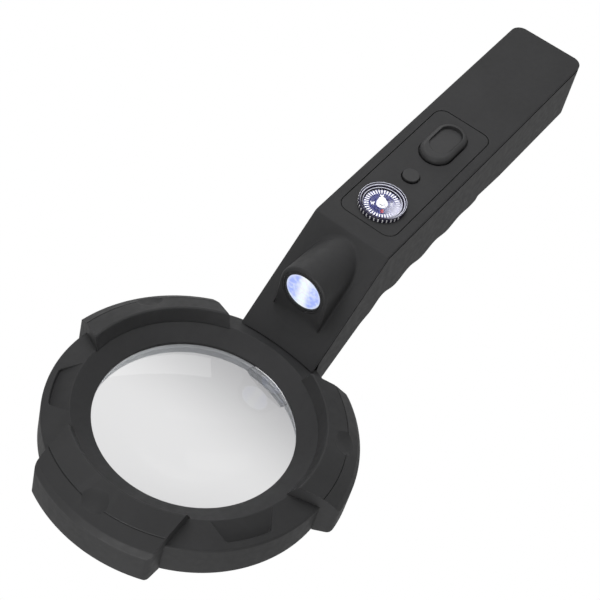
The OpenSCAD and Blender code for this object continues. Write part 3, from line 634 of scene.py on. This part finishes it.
def make_deck():
    side = rounded([on_neck(NECK_LEN, 0), (0, 0, 2.2), (HANDLE_LEN + 5, 0), (HANDLE_LEN + 5, -DECK_EDGE),
                    (*under_bend(DECK_EDGE), 1.0), on_neck(NECK_LEN, DECK_EDGE)], 8)
    deck = prism("front_shell_deck", side, -HANDLE_W / 2 - 3, HANDLE_W / 2 + 3, "y")
    carve(deck, prism("plan", wand_plan(), -60, 20), "INTERSECT")

    def depth(p):
        return -p.z if p.x > 0 else (-p.z + p.x * tan(NECK_ANGLE)) * cos(NECK_ANGLE)

    def top_edge(mid, edge):
        return depth(mid) < DECK_EDGE / 4 and (abs(mid.y) > 9 or mid.x > 100)
    soften(deck, 0.3, top_edge, 4)
    top = DECK_EDGE / 2
    inner = prism("inner", [on_neck(NECK_LEN, top), under_bend(top), (HANDLE_LEN - WALL - SLIP, -top),
                            (HANDLE_LEN - WALL - SLIP, -DECK_T),
                            under_bend(DECK_T), on_neck(NECK_LEN, DECK_T)],
                  -(HANDLE_W / 2 - WALL - SLIP), HANDLE_W / 2 - WALL - SLIP, "y")
    carve(deck, inner, "UNION")
    carve(deck, prism("recess", rounded_rect(PANEL_S - PANEL_GAP, PANEL_S + PANEL_LEN + PANEL_GAP,
                                             PANEL_W / 2 + PANEL_GAP, PANEL_CORNER + PANEL_GAP), -PANEL_T, 5))
    soften(deck, 0.12, lambda mid, edge: abs(mid.z) < 0.02 and 5 < mid.x < 70 and abs(mid.y) < 12, 2)
    carve(deck, shift(disc("hole", CASE_R + 0.6, -8, 2), COMPASS_S))
    carve(deck, shift(disc("hole", ROUND_R + 1.2, -8, 2), ROUND_S))
    carve(deck, shift(prism("hole", stadium(OVAL_LEN + 2.9, OVAL_W + 2.9), -8, 2), OVAL_S))
    move(deck, HANDLE_IN_HEAD)
    lamp_room = prism("room", arch(HOOD_R - 1.4, 15.6), HOOD_X, BEND_X - 2, "x")
    tilted = box("tilted", (BULKHEAD + 2, -40, -40), (100, 40, 40))
    carve(lamp_room, move(tilted, FACE), "INTERSECT")
    carve(deck, lamp_room)
    return carve(deck, ring_joint())


def ring_joint(gap=0.4, depth=0.7):
    """Shadow line where the neck lands on the ring's sloping top."""
    slope = (RIM_Z - RING_EDGE_Z) / (RING_R - RIM_R)
    low, high = [(r, RIM_Z - (r - RIM_R) * slope) for r in (36.0, 47.0)]
    band = revolve("band", [(low[0], low[1] - 2), (high[0], high[1] - 2),
                           (high[0], high[1] + gap), (low[0], low[1] + gap)], RING_SEGMENTS)
    skin = prism("skin", [on_neck(20, -2), on_neck(60, -2),
                         on_neck(60, depth), on_neck(20, depth)], -20, 20, "y")
    return carve(band, move(skin, HANDLE_IN_HEAD), "INTERSECT")


FACE = Matrix.Translation((HOOD_X, 0, HOOD_Z)) @ Matrix.Rotation(-LAMP_DIP, 4, "Y")


def arch(radius, low, steps=24):
    """Outline in Y and Z of the hood: a half circle on two upright walls."""
    return [(-radius, low)] + [(-radius * cos(pi * k / (2 * steps)),
                                 HOOD_Z + radius * sin(pi * k / (2 * steps)))
                               for k in range(2 * steps + 1)] + [(radius, low)]


def make_hood():
    hood = prism("front_shell_hood", arch(HOOD_R, 6), HOOD_X - 6, BEND_X - 1.2, "x")
    carve(hood, move(box("front", (-40, -40, -40), (0, 40, 40)), FACE))

    def front_edge(mid, edge):
        local = FACE.inverted() @ mid
        return local.x < 0.2 and mid.z > 7
    soften(hood, 0.9, front_edge, 4)
    lamp_place = HEAD.inverted() @ LAMP
    carve(hood, move(revolve("groove", [(7.5, -2), (7.56, 0.2), (7.74, 0.2), (7.8, -2)], 128), lamp_place))
    slope_cut = prism("below", [(20, -40), (100, -40), (100, (100 - BEND_X) * tan(NECK_RISE) + BEND_Z - 1.6),
                                (20, (20 - BEND_X) * tan(NECK_RISE) + BEND_Z - 1.6)], -30, 30, "y")
    carve(hood, slope_cut)
    carve(hood, move(disc("bore", LAMP_BORE, -3, 30, 96), lamp_place))
    room = prism("room", arch(HOOD_R - 1.4, 15.6), HOOD_X, BEND_X - 2, "x")
    carve(room, move(box("deep", (BULKHEAD, -40, -40), (60, 40, 40)), FACE), "INTERSECT")
    carve(hood, room)
    return hood


def make_fillet():
    """Blends the hood's outside into the neck: wide at the top and tight on the walls."""
    normal = Vector((-sin(NECK_RISE), 0, cos(NECK_RISE)))
    stations = []
    walls = [22.9 - k * 1.05 for k in range(13, 0, -1)]
    for z in walls:
        stations.append((-1, None, z))
    for k in range(41):
        stations.append((0, pi * k / 40, None))
    for z in reversed(walls):
        stations.append((1, None, z))
    rings = []
    for side, angle, z in stations:
        if side:
            out = Vector((0, side, 0))
            size = 0.8
            centre = Vector((0, side * (HOOD_R + size), z))
        else:
            out = Vector((0, -cos(angle), sin(angle)))
            size = 0.8 + 1.3 * sin(angle) ** 2
            centre = Vector((0, 0, HOOD_Z)) + out * (HOOD_R + size)
        centre.x = BEND_X + (cos(NECK_RISE) * (centre.z - BEND_Z) - size) / sin(NECK_RISE)
        to_hood, to_neck = -out, -normal
        spread = to_hood.angle(to_neck)
        ring_points = []
        for k in range(7):
            t = k / 6
            d = (to_hood * sin((1 - t) * spread) + to_neck * sin(t * spread)) / sin(spread)
            ring_points.append(centre + d * size)
        inward = (to_hood + to_neck).normalized()
        corner = centre + inward * (size / cos(spread / 2)) + inward * 0.25
        ring_points.append(corner)
        rings.append([tuple(p) for p in ring_points])
    blend = loft("front_shell_fillet", rings)
    return carve(blend, move(box("front", (-40, -40, -40), (0.15, 40, 40)), FACE))


def make_face_blend(steps=32, points=8):
    """Blends the foot of the hood's flat face into the neck, deepest in the middle."""
    up = FACE.to_3x3() @ Vector((0, 0, 1))
    down = Vector((-cos(NECK_RISE), 0, -sin(NECK_RISE)))
    normal = Vector((-sin(NECK_RISE), 0, cos(NECK_RISE)))
    bend, face = Vector((BEND_X, 0, BEND_Z)), Vector((HOOD_X, 0, HOOD_Z))
    corner = face + up * ((bend - face).dot(normal) / up.dot(normal))
    half = HOOD_R - 0.3
    rings = []
    for k in range(steps + 1):
        y = -half * cos(pi * k / steps)
        reach = 0.15 + 3.9 * sqrt(max(0.0, 1 - (y / half) ** 2))
        arc = [corner + up * (reach * (1 - t) ** 2) + down * (reach * t ** 2)
               for t in [i / points for i in range(points + 1)]]
        arc.append(corner - (up + down) * 0.3)
        rings.append([(p.x, y, p.z) for p in arc])
    return loft("front_shell_face_blend", rings)


deck = make_deck()
hood = make_hood()
fillet = make_fillet()
face_blend = make_face_blend()

# ---------- Rear shell and battery cover ----------

def rib_z(s):
    phase = (s - RIB_FIRST) / RIB_PITCH
    k = max(0, min(len(RIB_HEIGHTS) - 1, round(phase)))
    return VALLEY_Z - RIB_HEIGHTS[k] * cos(pi * (phase - k)) ** 2


def wand_side():
    ribs = [(s, rib_z(s)) for s in [RIB_FIRST + 0.5 * k for k in range(int((RIB_LAST - RIB_FIRST) * 2) + 1)]]
    return rounded([(0, 0), on_neck(NECK_LEN, 0), (-27.5, -39.8), (-7.4, -27.7, 1.0), *ribs,
                    (RIB_LAST + 2.5, -23.1, 0.4), (RIB_LAST + 3.5, NOTCH_Z, 0.4), (FLAT_S, -HANDLE_T, 2),
                    (HANDLE_LEN, -HANDLE_T, END_ROUND), (HANDLE_LEN, 0)], 6)


def cover_section(gap):
    w, t = COVER_W / 2 + gap, TONGUE_W / 2 + gap
    top, shelf = COVER_TOP + gap, COVER_TOP - TONGUE_T - gap / 4
    return [(-w, -60), (w, -60), (w, shelf), (t, shelf), (t, top), (-t, top), (-t, shelf), (-w, shelf)]


def make_tray():
    tray = prism("rear_shell_tray", wand_side(), -HANDLE_W / 2 - 3, HANDLE_W / 2 + 3, "y")
    carve(tray, prism("plan", wand_plan(), -60, 20), "INTERSECT")

    def outer_edge(mid, edge):
        return mid.z < -3 and abs(mid.y) > 10.1 and mid.x > -26 and abs(
            (edge.verts[1].co - edge.verts[0].co).normalized().z) < 0.95
    soften(tray, 1.2, outer_edge, 4)
    cavity = [under_bend(-1), on_neck(NECK_LEN, -1),
              on_neck(NECK_LEN, 6), (-21.5, -33), (-6, -24), (2, FLOOR_Z),
              (HANDLE_LEN - WALL, FLOOR_Z), (HANDLE_LEN - WALL, 1)]
    carve(tray, prism("cavity", cavity, -HANDLE_W / 2 + WALL, HANDLE_W / 2 - WALL, "y"))
    carve(tray, box("bay_wall", (68.35, -HANDLE_W / 2 + 1, FLOOR_Z - 1),
                    (69.95, HANDLE_W / 2 - 1, -6.2)), "UNION")
    for s, y in SHELL_SCREWS:
        carve(tray, shift(disc("boss", 3.8, VALLEY_Z + 0.8, -13.1, 48), s, y), "UNION")
    depth = DECK_EDGE + SEAM
    above = [on_neck(NECK_LEN + 20, depth), under_bend(depth), (300, -depth), (300, 100), (-300, 100)]
    carve(tray, prism("above", above, -60, 60, "y"))
    bend_x, bend_z = under_bend(depth)

    def seam_edge(mid, edge):
        on_slope = mid.x < 0 and abs(mid.z - bend_z - (mid.x - bend_x) * tan(NECK_ANGLE)) < 0.05
        return abs(mid.y) > HANDLE_W / 2 - 0.2 and (abs(mid.z + depth) < 0.05 or on_slope)
    soften(tray, 0.15, seam_edge, 2)
    carve(tray, prism("slot", cover_section(0.2), COVER_S - 0.2, 200, "x"))
    for s, y in SHELL_SCREWS:
        carve(tray, shift(disc("bore", 1.25, -30, -10, 32), s, y))
        carve(tray, shift(disc("sink", 2.35, -30, VALLEY_Z + 3.6, 48), s, y))
    move(tray, HANDLE_IN_HEAD)
    carve(tray, disc("ring_space", RING_R + SLIP, -60, 30, RING_SEGMENTS))
    return tray


def make_cover():
    cover = prism("battery_cover_plate", cover_section(0), COVER_S, HANDLE_LEN + 5, "x")
    carve(cover, prism("side", wand_side(), -HANDLE_W / 2, HANDLE_W / 2, "y"), "INTERSECT")
    carve(cover, prism("plan", wand_plan(), -60, 20), "INTERSECT")
    soften(cover, 0.25, lambda mid, edge: mid.z < -20.5, 2)
    carve(cover, box("hollow", (COVER_S + 3, -COVER_W / 2 + 2, COVER_TOP - 1.5),
                     (HANDLE_LEN - 3, COVER_W / 2 - 2, COVER_TOP + 4)))
    for k in range(4):
        bar = rounded_rect(FLAT_S + 2.2 * k, FLAT_S + 2.2 * k + 1.1, 6, 0.5, 4)
        carve(cover, prism("bar", bar, -HANDLE_T - 1, -HANDLE_T + 0.4))
    return cover


tray = make_tray()
cover = make_cover()

# ---------- Optics ----------

def lens_profile(radius, sag, edge_low, edge_high, steps=40):
    ball = (radius ** 2 + sag ** 2) / (2 * sag)
    rise = lambda r: sqrt(ball ** 2 - r ** 2) - (ball - sag)
    radii = [radius * k / steps for k in range(steps + 1)]
    return ([(r, edge_high + rise(r)) for r in radii] + [(r, edge_low - rise(r)) for r in reversed(radii)])


lens = revolve("main_lens_glass", lens_profile(LENS_R, LENS_SAG, LENS_TOP - LENS_EDGE, LENS_TOP), 192)


def make_inset():
    at, size, bulge, gap = (26.6, -6.9), 8.6, 0.5, 0.03
    ball = (LENS_R ** 2 + LENS_SAG ** 2) / (2 * LENS_SAG)
    cap = (size ** 2 + bulge ** 2) / (2 * bulge)
    centre_z = LENS_TOP + LENS_SAG - ball
    seat = centre_z + sqrt(ball ** 2 - at[0] ** 2 - at[1] ** 2)
    steps = 20
    top = [(size * k / steps, seat + bulge - cap + sqrt(cap ** 2 - (size * k / steps) ** 2))
           for k in range(steps + 1)]
    inset = revolve("inset_lens_glass", top + [(size, seat - 5), (0, seat - 5)], 96)
    move(inset, Matrix.Translation((at[0], at[1], 0)))
    below = [(r, centre_z + sqrt((ball + gap) ** 2 - r ** 2)) for r in [LENS_R * k / 48 for k in range(49)]]
    carve(inset, revolve("below", below + [(LENS_R, -20), (0, -20)], 192))
    carve(inset, disc("edge", VIEW_R - 0.3, -20, 20, 192), "INTERSECT")
    return inset


inset = make_inset()

# ---------- Controls ----------

def make_panel():
    panel = prism("control_panel_plate",
                  rounded_rect(PANEL_S, PANEL_S + PANEL_LEN, PANEL_W / 2, PANEL_CORNER),
                  -PANEL_T + 0.02, 0)
    soften(panel, 0.22, lambda mid, edge: mid.z > -0.01, 3)
    gap = 0.35
    carve(panel, move(disc("hole", CASE_R + 0.1, -5, 5), Matrix.Translation((COMPASS_S, 0, 0))))
    carve(panel, move(disc("hole", ROUND_R + gap, -5, 5, 64), Matrix.Translation((ROUND_S, 0, 0))))
    carve(panel, move(prism("hole", stadium(OVAL_LEN + 2 * gap, OVAL_W + 2 * gap), -5, 5),
                      Matrix.Translation((OVAL_S, 0, 0))))
    return panel


def make_lamp_button():
    rise, foot, skirt = 2.3, -1.55, -2.35
    levels = [(0.2, foot), (0.2, 0.15), (0.0, 0.4), (0.0, 0.75), (0.1, 1.2),
              (0.32, 1.6), (0.65, 1.95), (1.0, 2.17), (1.35, 2.27),
              (1.6, rise)]
    button = loft("lamp_button_cap", [[(x, y, z) for x, y in stadium(OVAL_LEN, OVAL_W, inset, 20)]
                                      for inset, z in levels])
    move(button, Matrix.Translation((OVAL_S, 0, 0)))
    length, width, near = 14.4, 8.2, 0.25
    floor = [(0, 5), (0, -0.05), (0.06, -0.14), (0.16, -0.16),
             (0.28, -0.12), (0.38, -0.03), (0.5, 0), (1.2, 0), (2.4, 0), (3.9, 0)]
    scoop = loft("scoop", [[(x + length / 2, y, z) for x, y in stadium(length, width, inset, 20)]
                           for inset, z in floor])
    move(scoop, Matrix.Translation((OVAL_S + 0.9 - length / 2, 0, rise - near))
         @ Matrix.Rotation(radians(4), 4, "Y"))
    carve(button, scoop)
    soften(button, 0.1, lambda mid, edge: mid.z > rise - 0.12, 2)
    flange = prism("flange", stadium(OVAL_LEN + 2, OVAL_W + 2), skirt, foot)
    carve(button, move(flange, Matrix.Translation((OVAL_S, 0, 0))), "UNION")
    carve(button, move(disc("stem", 1.6, -4.3, -2.0, 48), Matrix.Translation((OVAL_S, 0, 0))), "UNION")
    return button


def make_mode_button():
    profile = rounded([(0, -4.3), (1.1, -4.3), (1.1, -2.35), (ROUND_R + 0.9, -2.35), (ROUND_R + 0.9, -1.55),
                       (ROUND_R - 0.12, -1.55), (ROUND_R - 0.12, 0.2), (ROUND_R, 0.35),
                       (ROUND_R, 0.95, 0.35), (1.2, 1.02), (0, 1.03)], 4)
    return shift(revolve("mode_button_cap", profile, 96), ROUND_S)


CARD_TOP, CARD_R, MARKS = -0.1, 6.1, 36
NORTH = radians(36)


def make_compass_case():
    low, floor, rise, seat = -6.5, -5.7, 1.9, 0.7
    profile = rounded([(0, low), (CASE_R, low, 0.3), (CASE_R, 0), (COMPASS_R, 0),
                       (COMPASS_R, rise, 0.55), (7.35, 1.3, 0.2),
                       (BORE_R, seat, 0.1), (BORE_R, floor, 0.3), (0, floor)], 5)
    return revolve("compass_case_ring", profile, 128)


def make_compass_lips():
    """Thin rings round the capsule that carry its painted highlight: its outer edge, the turn of its cone, and the
    window's step.
    """
    parts = []
    for inner, outer, low, high in ((7.72, 7.86, 1.7, 1.87), (7.12, 7.42, 1.1, 1.42), (6.3, 6.56, 0.7, 0.86)):
        round_off = (outer - inner) * 0.45
        section = rounded([(inner, low), (outer, low), (outer, high, round_off), (inner, high, round_off)], 5)
        parts.append(revolve("lip", section, 128))
    lips = join(parts)
    lips.name = "compass_case_lips"
    return lips


def make_compass_glints():
    """Pale strokes on the side wall that faces the lens: painted glints that stand in for the scale's image
    refracted through that clear wall.
    """
    parts = []
    for k in range(MARKS):
        angle = 2 * pi * (k + 0.5) / MARKS
        if cos(angle) < -0.25:
            stroke = box("stroke", (COMPASS_R - 0.2, -0.2, 0.15), (COMPASS_R + 0.03, 0.2, 1.3))
            parts.append(move(stroke, Matrix.Rotation(angle, 4, "Z")))
    glints = join(parts)
    glints.name = "compass_case_glints"
    return glints


def make_compass_window():
    r, low, edge, dome = BORE_R - 0.05, 0.2, 0.7, 0.7
    ball = (r * r + dome * dome) / (2 * dome)
    top = [(r * k / 16, edge + dome - ball + sqrt(ball ** 2 - (r * k / 16) ** 2)) for k in range(17)]
    return revolve("compass_window_dome", top + [(r, low), (0, low)], 128)


def make_card():
    hub, t = 1.1, 0.4
    return revolve("compass_card_disc",
                   rounded([(0, CARD_TOP), (CARD_R, CARD_TOP, 0.1), (CARD_R, CARD_TOP - t, 0.1),
                            (hub, CARD_TOP - t), (hub, CARD_TOP - t - 1.1, 0.15),
                            (0.35, CARD_TOP - t - 1.1), (0.35, CARD_TOP - t - 0.05),
                            (0, CARD_TOP - t - 0.05)], 3), 96)


def bar(x0, x1, half0, half1, z=CARD_TOP, t=0.04):
    return prism("bar", [(x0, -half0), (x1, -half1), (x1, half1), (x0, half0)], z - 0.01, z + t)


def strokes(lines, width=0.3):
    """Flat strokes between pairs of points."""
    parts = []
    for (x0, y0), (x1, y1) in lines:
        run = hypot(x1 - x0, y1 - y0)
        part = bar(-width / 2, run + width / 2, width / 2, width / 2)
        parts.append(move(part, Matrix.Translation((x0, y0, 0))
                          @ Matrix.Rotation(atan2(y1 - y0, x1 - x0), 4, "Z")))
    return join(parts)


def join(parts):
    bm = bmesh.new()
    for part in parts:
        bm.from_mesh(part.data)
        drop(part)
    mesh = bpy.data.meshes.new("joined")
    bm.to_mesh(mesh)
    bm.free()
    return new_object("joined", mesh)


def letter(lines, bearing, radius):
    """Strokes drawn on a unit box, stood at a bearing with the letter's head outwards."""
    size = 1.05
    drawn = strokes([((x0 * size, y0 * size), (x1 * size, y1 * size)) for (x0, y0), (x1, y1) in lines], 0.32)
    stand = (Matrix.Rotation(NORTH - bearing, 4, "Z") @ Matrix.Translation((radius, 0, 0))
             @ Matrix.Rotation(bearing - pi / 2, 4, "Z"))
    return move(drawn, stand)


def make_marks():
    parts = []
    for k in range(MARKS):
        parts.append(move(bar(4.35, 5.9, 0.19, 0.26), Matrix.Rotation(NORTH + 2 * pi * k / MARKS, 4, "Z")))
    tail = [(2.5, 0.22), (3.0, 0.3), (3.55, 0.66), (4.0, 0.5), (3.5, 0)]
    fish = tail + [(x, -y) for x, y in reversed(tail[:-1])]
    parts.append(move(prism("north", fish, CARD_TOP - 0.01, CARD_TOP + 0.04), Matrix.Rotation(NORTH, 4, "Z")))
    w = [((-0.5, 0.5), (-0.28, -0.5)), ((-0.28, -0.5), (0, 0.3)),
         ((0, 0.3), (0.28, -0.5)), ((0.28, -0.5), (0.5, 0.5))]
    e = [((-0.35, 0.5), (-0.35, -0.5)),
         ((-0.35, 0.5), (0.35, 0.5)), ((-0.35, 0), (0.25, 0)), ((-0.35, -0.5), (0.35, -0.5))]
    parts += [letter(w, -pi / 2, 3.1), letter(e, pi / 2, 3.1)]
    marks = join(parts)
    marks.name = "compass_card_marks"
    return marks


def make_south():
    lines = [((0.35, 0.4), (0, 0.5)), ((0, 0.5), (-0.35, 0.3)),
             ((-0.35, 0.3), (0.35, -0.25)), ((0.35, -0.25), (0, -0.5)),
             ((0, -0.5), (-0.35, -0.4))]
    south = letter(lines, pi, 3.1)
    south.name = "compass_card_south"
    return south


def make_hub():
    """White teardrop cap over the needle's cup, pointing north."""
    steps, r, tip = 40, 1.9, 3.0
    outline = []
    for k in range(steps):
        a = 2 * pi * k / steps
        reach = r + (tip - r) * max(0.0, cos(a)) ** 6
        outline.append((reach * cos(a), reach * sin(a)))
    levels = ((1.0, 0.0), (1.0, 0.08), (0.93, 0.16), (0.8, 0.2), (0.56, 0.21), (0.5, 0.13), (0.36, 0.1))
    hub = loft("compass_card_hub", [[(x * k, y * k, CARD_TOP + z) for x, y in outline] for k, z in levels])
    return move(hub, Matrix.Rotation(NORTH, 4, "Z"))


def make_hub_marks(steps=12):
    """Grey crescent moulded across the hub's cap."""
    outer = [(0.5 + 1.35 * cos(a), 1.35 * sin(a))
             for a in [radians(130 + 100 * k / steps) for k in range(steps + 1)]]
    inner = [(0.95 + 1.6 * cos(a), 1.6 * sin(a))
             for a in [radians(222 - 84 * k / steps) for k in range(steps + 1)]]
    marks = prism("compass_card_crescent", outer + inner, CARD_TOP + 0.1, CARD_TOP + 0.24)
    return move(marks, Matrix.Rotation(NORTH, 4, "Z"))


def make_bezel():
    inner, outer, back = LAMP_R + 0.05, LAMP_BORE - 0.05, BEZEL_SET + 0.98
    return revolve("lamp_bezel_ring",
                   rounded([(inner, back), (inner, BEZEL_SET + 0.25, 0.1), (inner + 0.25, BEZEL_SET, 0.1),
                            (outer, BEZEL_SET, 0.14), (outer, back)], 4), 128)


def make_lamp_lens():
    """Front lens: a shallow dome whose face is moulded with rings of small bumps."""
    back = LAMP_SET + 1.7
    rows, segments = 26, 96
    bm = bmesh.new()
    grid = []
    for i in range(rows + 1):
        r = LAMP_R * i / rows
        line = []
        for k in range(segments):
            a = 2 * pi * k / segments
            bump = 0.05 * cos(6 * pi * r / LAMP_R) * cos(12 * a) * (r / LAMP_R) * (1 - (i == rows))
            line.append(bm.verts.new((r * cos(a), r * sin(a),
                                     LAMP_SET - LAMP_DOME * (1 - (r / LAMP_R) ** 2) - bump)))
        grid.append(line)
    grid.append([bm.verts.new((LAMP_R * cos(2 * pi * k / segments),
                              LAMP_R * sin(2 * pi * k / segments), back))
                 for k in range(segments)])
    for a, b in zip(grid, grid[1:]):
        for k in range(segments):
            j = (k + 1) % segments
            bm.faces.new((a[k], a[j], b[j], b[k]))
    bm.faces.new(grid[-1])
    bmesh.ops.remove_doubles(bm, verts=bm.verts, dist=1e-4)
    bmesh.ops.dissolve_degenerate(bm, edges=bm.edges, dist=1e-5)
    return from_bmesh("lamp_lens_front", bm)


panel = make_panel()
lamp_button = make_lamp_button()
mode_button = make_mode_button()

# ---------- Hand the pieces over ----------
ROOT = "magnifier"
for part in (deck, hood, fillet, face_blend):
    piece(part, HEAD, ROOT, SHELL, ["front_shell"])
piece(ring, HEAD, ROOT, SHELL, ["front_shell"])
piece(tray, HEAD, ROOT, SHELL, ["rear_shell"])
piece(cover, HANDLE, "battery_cover", SHELL, ["battery_cover"])
for node, angle in (("bumper_left", BUMPER_ANGLE), ("bumper_front", 180), ("bumper_right", -BUMPER_ANGLE)):
    piece(make_bumper(node + "_pad", angle), HEAD, ROOT, BUMPER, [node])
piece(lens, HEAD, ROOT, LENS_GLASS, ["main_lens"])
lens.data.materials.append(LENS_BACK)
for face in lens.data.polygons:
    face.material_index = 1 if face.normal.dot(HEAD.to_3x3().col[2]) < 0 else 0
piece(inset, HEAD, ROOT, INSET_GLASS, ["inset_lens"])
piece(panel, HANDLE, ROOT, PANEL, ["control_panel"])
piece(lamp_button, HANDLE, "lamp_button", BUTTON, ["lamp_button"])
piece(mode_button, HANDLE, "mode_button", BUTTON, ["mode_button"])

AT_COMPASS = HANDLE @ Matrix.Translation((COMPASS_S, 0, 0))
piece(make_compass_case(), AT_COMPASS, ROOT, CAPSULE_PAINTED_DARK, ["compass_case"])
piece(make_compass_lips(), AT_COMPASS, ROOT, RIM_PAINTED_HIGHLIGHT)
# Painted glints: white strokes standing in for the scale refracted in the capsule's near wall
piece(make_compass_glints(), AT_COMPASS, ROOT, DIAL_WHITE)
window_dome = piece(make_compass_window(), AT_COMPASS,
                    ROOT, WINDOW_CLEAR, ["compass_window"])
for optic in (lens, inset, window_dome):
    optic.visible_shadow = False
piece(make_card(), AT_COMPASS, "compass_card", DIAL_BLUE, ["compass_card"])
for make, look in ((make_marks, DIAL_WHITE), (make_south, DIAL_RED),
                   (make_hub, DIAL_WHITE), (make_hub_marks, DIAL_GREY)):
    piece(make(), AT_COMPASS, "compass_card", look)
piece(make_bezel(), LAMP, ROOT, BEZEL, ["lamp_bezel"])
piece(make_lamp_lens(), LAMP, ROOT, GLOW, ["lamp_lens"])

NODE_LOOKS = {"retainer_frosted": RETAINER, "gasket": GASKET}
record_materials = {m["slot"]: m for m in frame["record"]["materials"]}
slot_of = {p["node"]: p["material_slot"] for p in frame["record"]["subparts"]}
for name, node in NODES.items():
    slot = slot_of[name]
    if slot not in NODE_LOOKS:
        data = record_materials[slot]
        colour = tuple(c ** 2.2 for c in data["base_color"][:3])
        if data["class"] in ("chrome", "brushed_steel", "brass"):
            NODE_LOOKS[slot] = metal(slot + "_look", data["base_color"][:3], 0.3)
        elif data["class"] == "glass":
            NODE_LOOKS[slot] = glass(slot + "_look")
        else:
            NODE_LOOKS[slot] = plastic(slot + "_look", colour)
    node.data.materials.clear()
    node.data.materials.append(NODE_LOOKS[slot])


def make_spring(name):
    """Copy of a button's coil that stays on its foot with the main body."""
    spring = new_object(name + "_coil", NODES[name].data.copy())
    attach(spring, ROOT)
    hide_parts(name)
    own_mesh(spring)


make_spring("lamp_button_spring")
make_spring("mode_button_spring")

# ---------- Camera, light and stage ----------
EYE = Vector((-227.605, -121.272, 319.615))
AXIS_RIGHT = Vector((0.58026, -0.78609, 0.21295))
AXIS_DOWN = Vector((-0.49529, -0.54817, -0.67394))
AXIS_FORWARD = Vector((0.64652, 0.28559, -0.70743))
camera = bpy.data.objects.new("camera", bpy.data.cameras.new("camera"))
SCENE.collection.objects.link(camera)
SCENE.camera = camera
camera.data.sensor_width = 36.0
camera.data.lens = 81.84
camera.data.clip_start, camera.data.clip_end = 0.01, 20
turned = HEAD.to_3x3() * (1 / MM)
basis = Matrix.Identity(4)
for column, axis in enumerate((AXIS_RIGHT, -AXIS_DOWN, -AXIS_FORWARD)):
    basis.col[column] = (*(turned @ axis), 0)
basis.col[3] = (*(HEAD @ EYE), 1)
camera.matrix_world = basis

white = Graph("paper_white")
glow = white.add("ShaderNodeEmission", Color=(1, 1, 1), Strength=1.0)
FLOOR_REACH, FLOOR_TOP, FLOOR_BASE = 3, -0.0005, -0.004
floor = box("floor", (-FLOOR_REACH, -FLOOR_REACH, FLOOR_BASE), (FLOOR_REACH, FLOOR_REACH, FLOOR_TOP))
floor.data.materials.append(white.surface(glow))
floor.visible_diffuse = False
floor.visible_glossy = False
floor.visible_shadow = False


def soft_light(name, place, target, size, power, colour=(1, 1, 1)):
    data = bpy.data.lights.new(name, "AREA")
    data.shape = "RECTANGLE"
    data.size, data.size_y = size
    data.energy = power
    data.color = colour
    lamp = bpy.data.objects.new(name, data)
    SCENE.collection.objects.link(lamp)
    lamp.location = place
    lamp.rotation_mode = "QUATERNION"
    lamp.rotation_quaternion = (Vector(target) - Vector(place)).to_track_quat("-Z", "Y")
    return lamp


key = soft_light("key", (0.16, 0.14, 0.60), (0.04, 0, 0.03), (0.7, 0.5), 3.8)
key.visible_glossy = False
side_fill = soft_light("side_fill", (-0.75, -0.15, 0.14), (0, 0, 0.02), (0.6, 0.25), 2.4)
window_centre = Vector((0.4615, 0.4243, 0.2045))
window_across = Vector((0.6455, -0.7358, -0.204))
window_up = Vector((0.152, 0.386, -0.910))
window = soft_light("window", window_centre, (0, 0, 0), (0.30, 0.26), 0.28)
window_facing = window_across.cross(window_up).normalized()
if window_facing.dot(HEAD.translation - window_centre) > 0:
    window_facing = -window_facing
window_turn = Matrix.Identity(3)
window_axes = (window_across.normalized(), window_facing.cross(window_across).normalized(), window_facing)
for column, axis in enumerate(window_axes):
    window_turn.col[column] = axis
window.rotation_quaternion = window_turn.to_quaternion()
world = bpy.data.worlds.new("studio")
SCENE.world = world
world.use_nodes = True
sky = world.node_tree
backdrop = sky.nodes["Background"]
height = sky.nodes.new("ShaderNodeSeparateXYZ")
sky.links.new(sky.nodes.new("ShaderNodeTexCoord").outputs["Generated"], height.inputs["Vector"])
bounce = sky.nodes.new("ShaderNodeMapRange")
# The room is brighter from below the horizon than from above it
for key_name, number in (("From Min", -0.12), ("From Max", 0.12), ("To Min", 0.48), ("To Max", 0.24)):
    bounce.inputs[key_name].default_value = number
sky.links.new(height.outputs["Z"], bounce.inputs["Value"])
sky.links.new(bounce.outputs["Result"], backdrop.inputs["Strength"])
backdrop.inputs["Color"].default_value = (1, 1, 1, 1)
SCENE.view_settings.view_transform = "Standard"
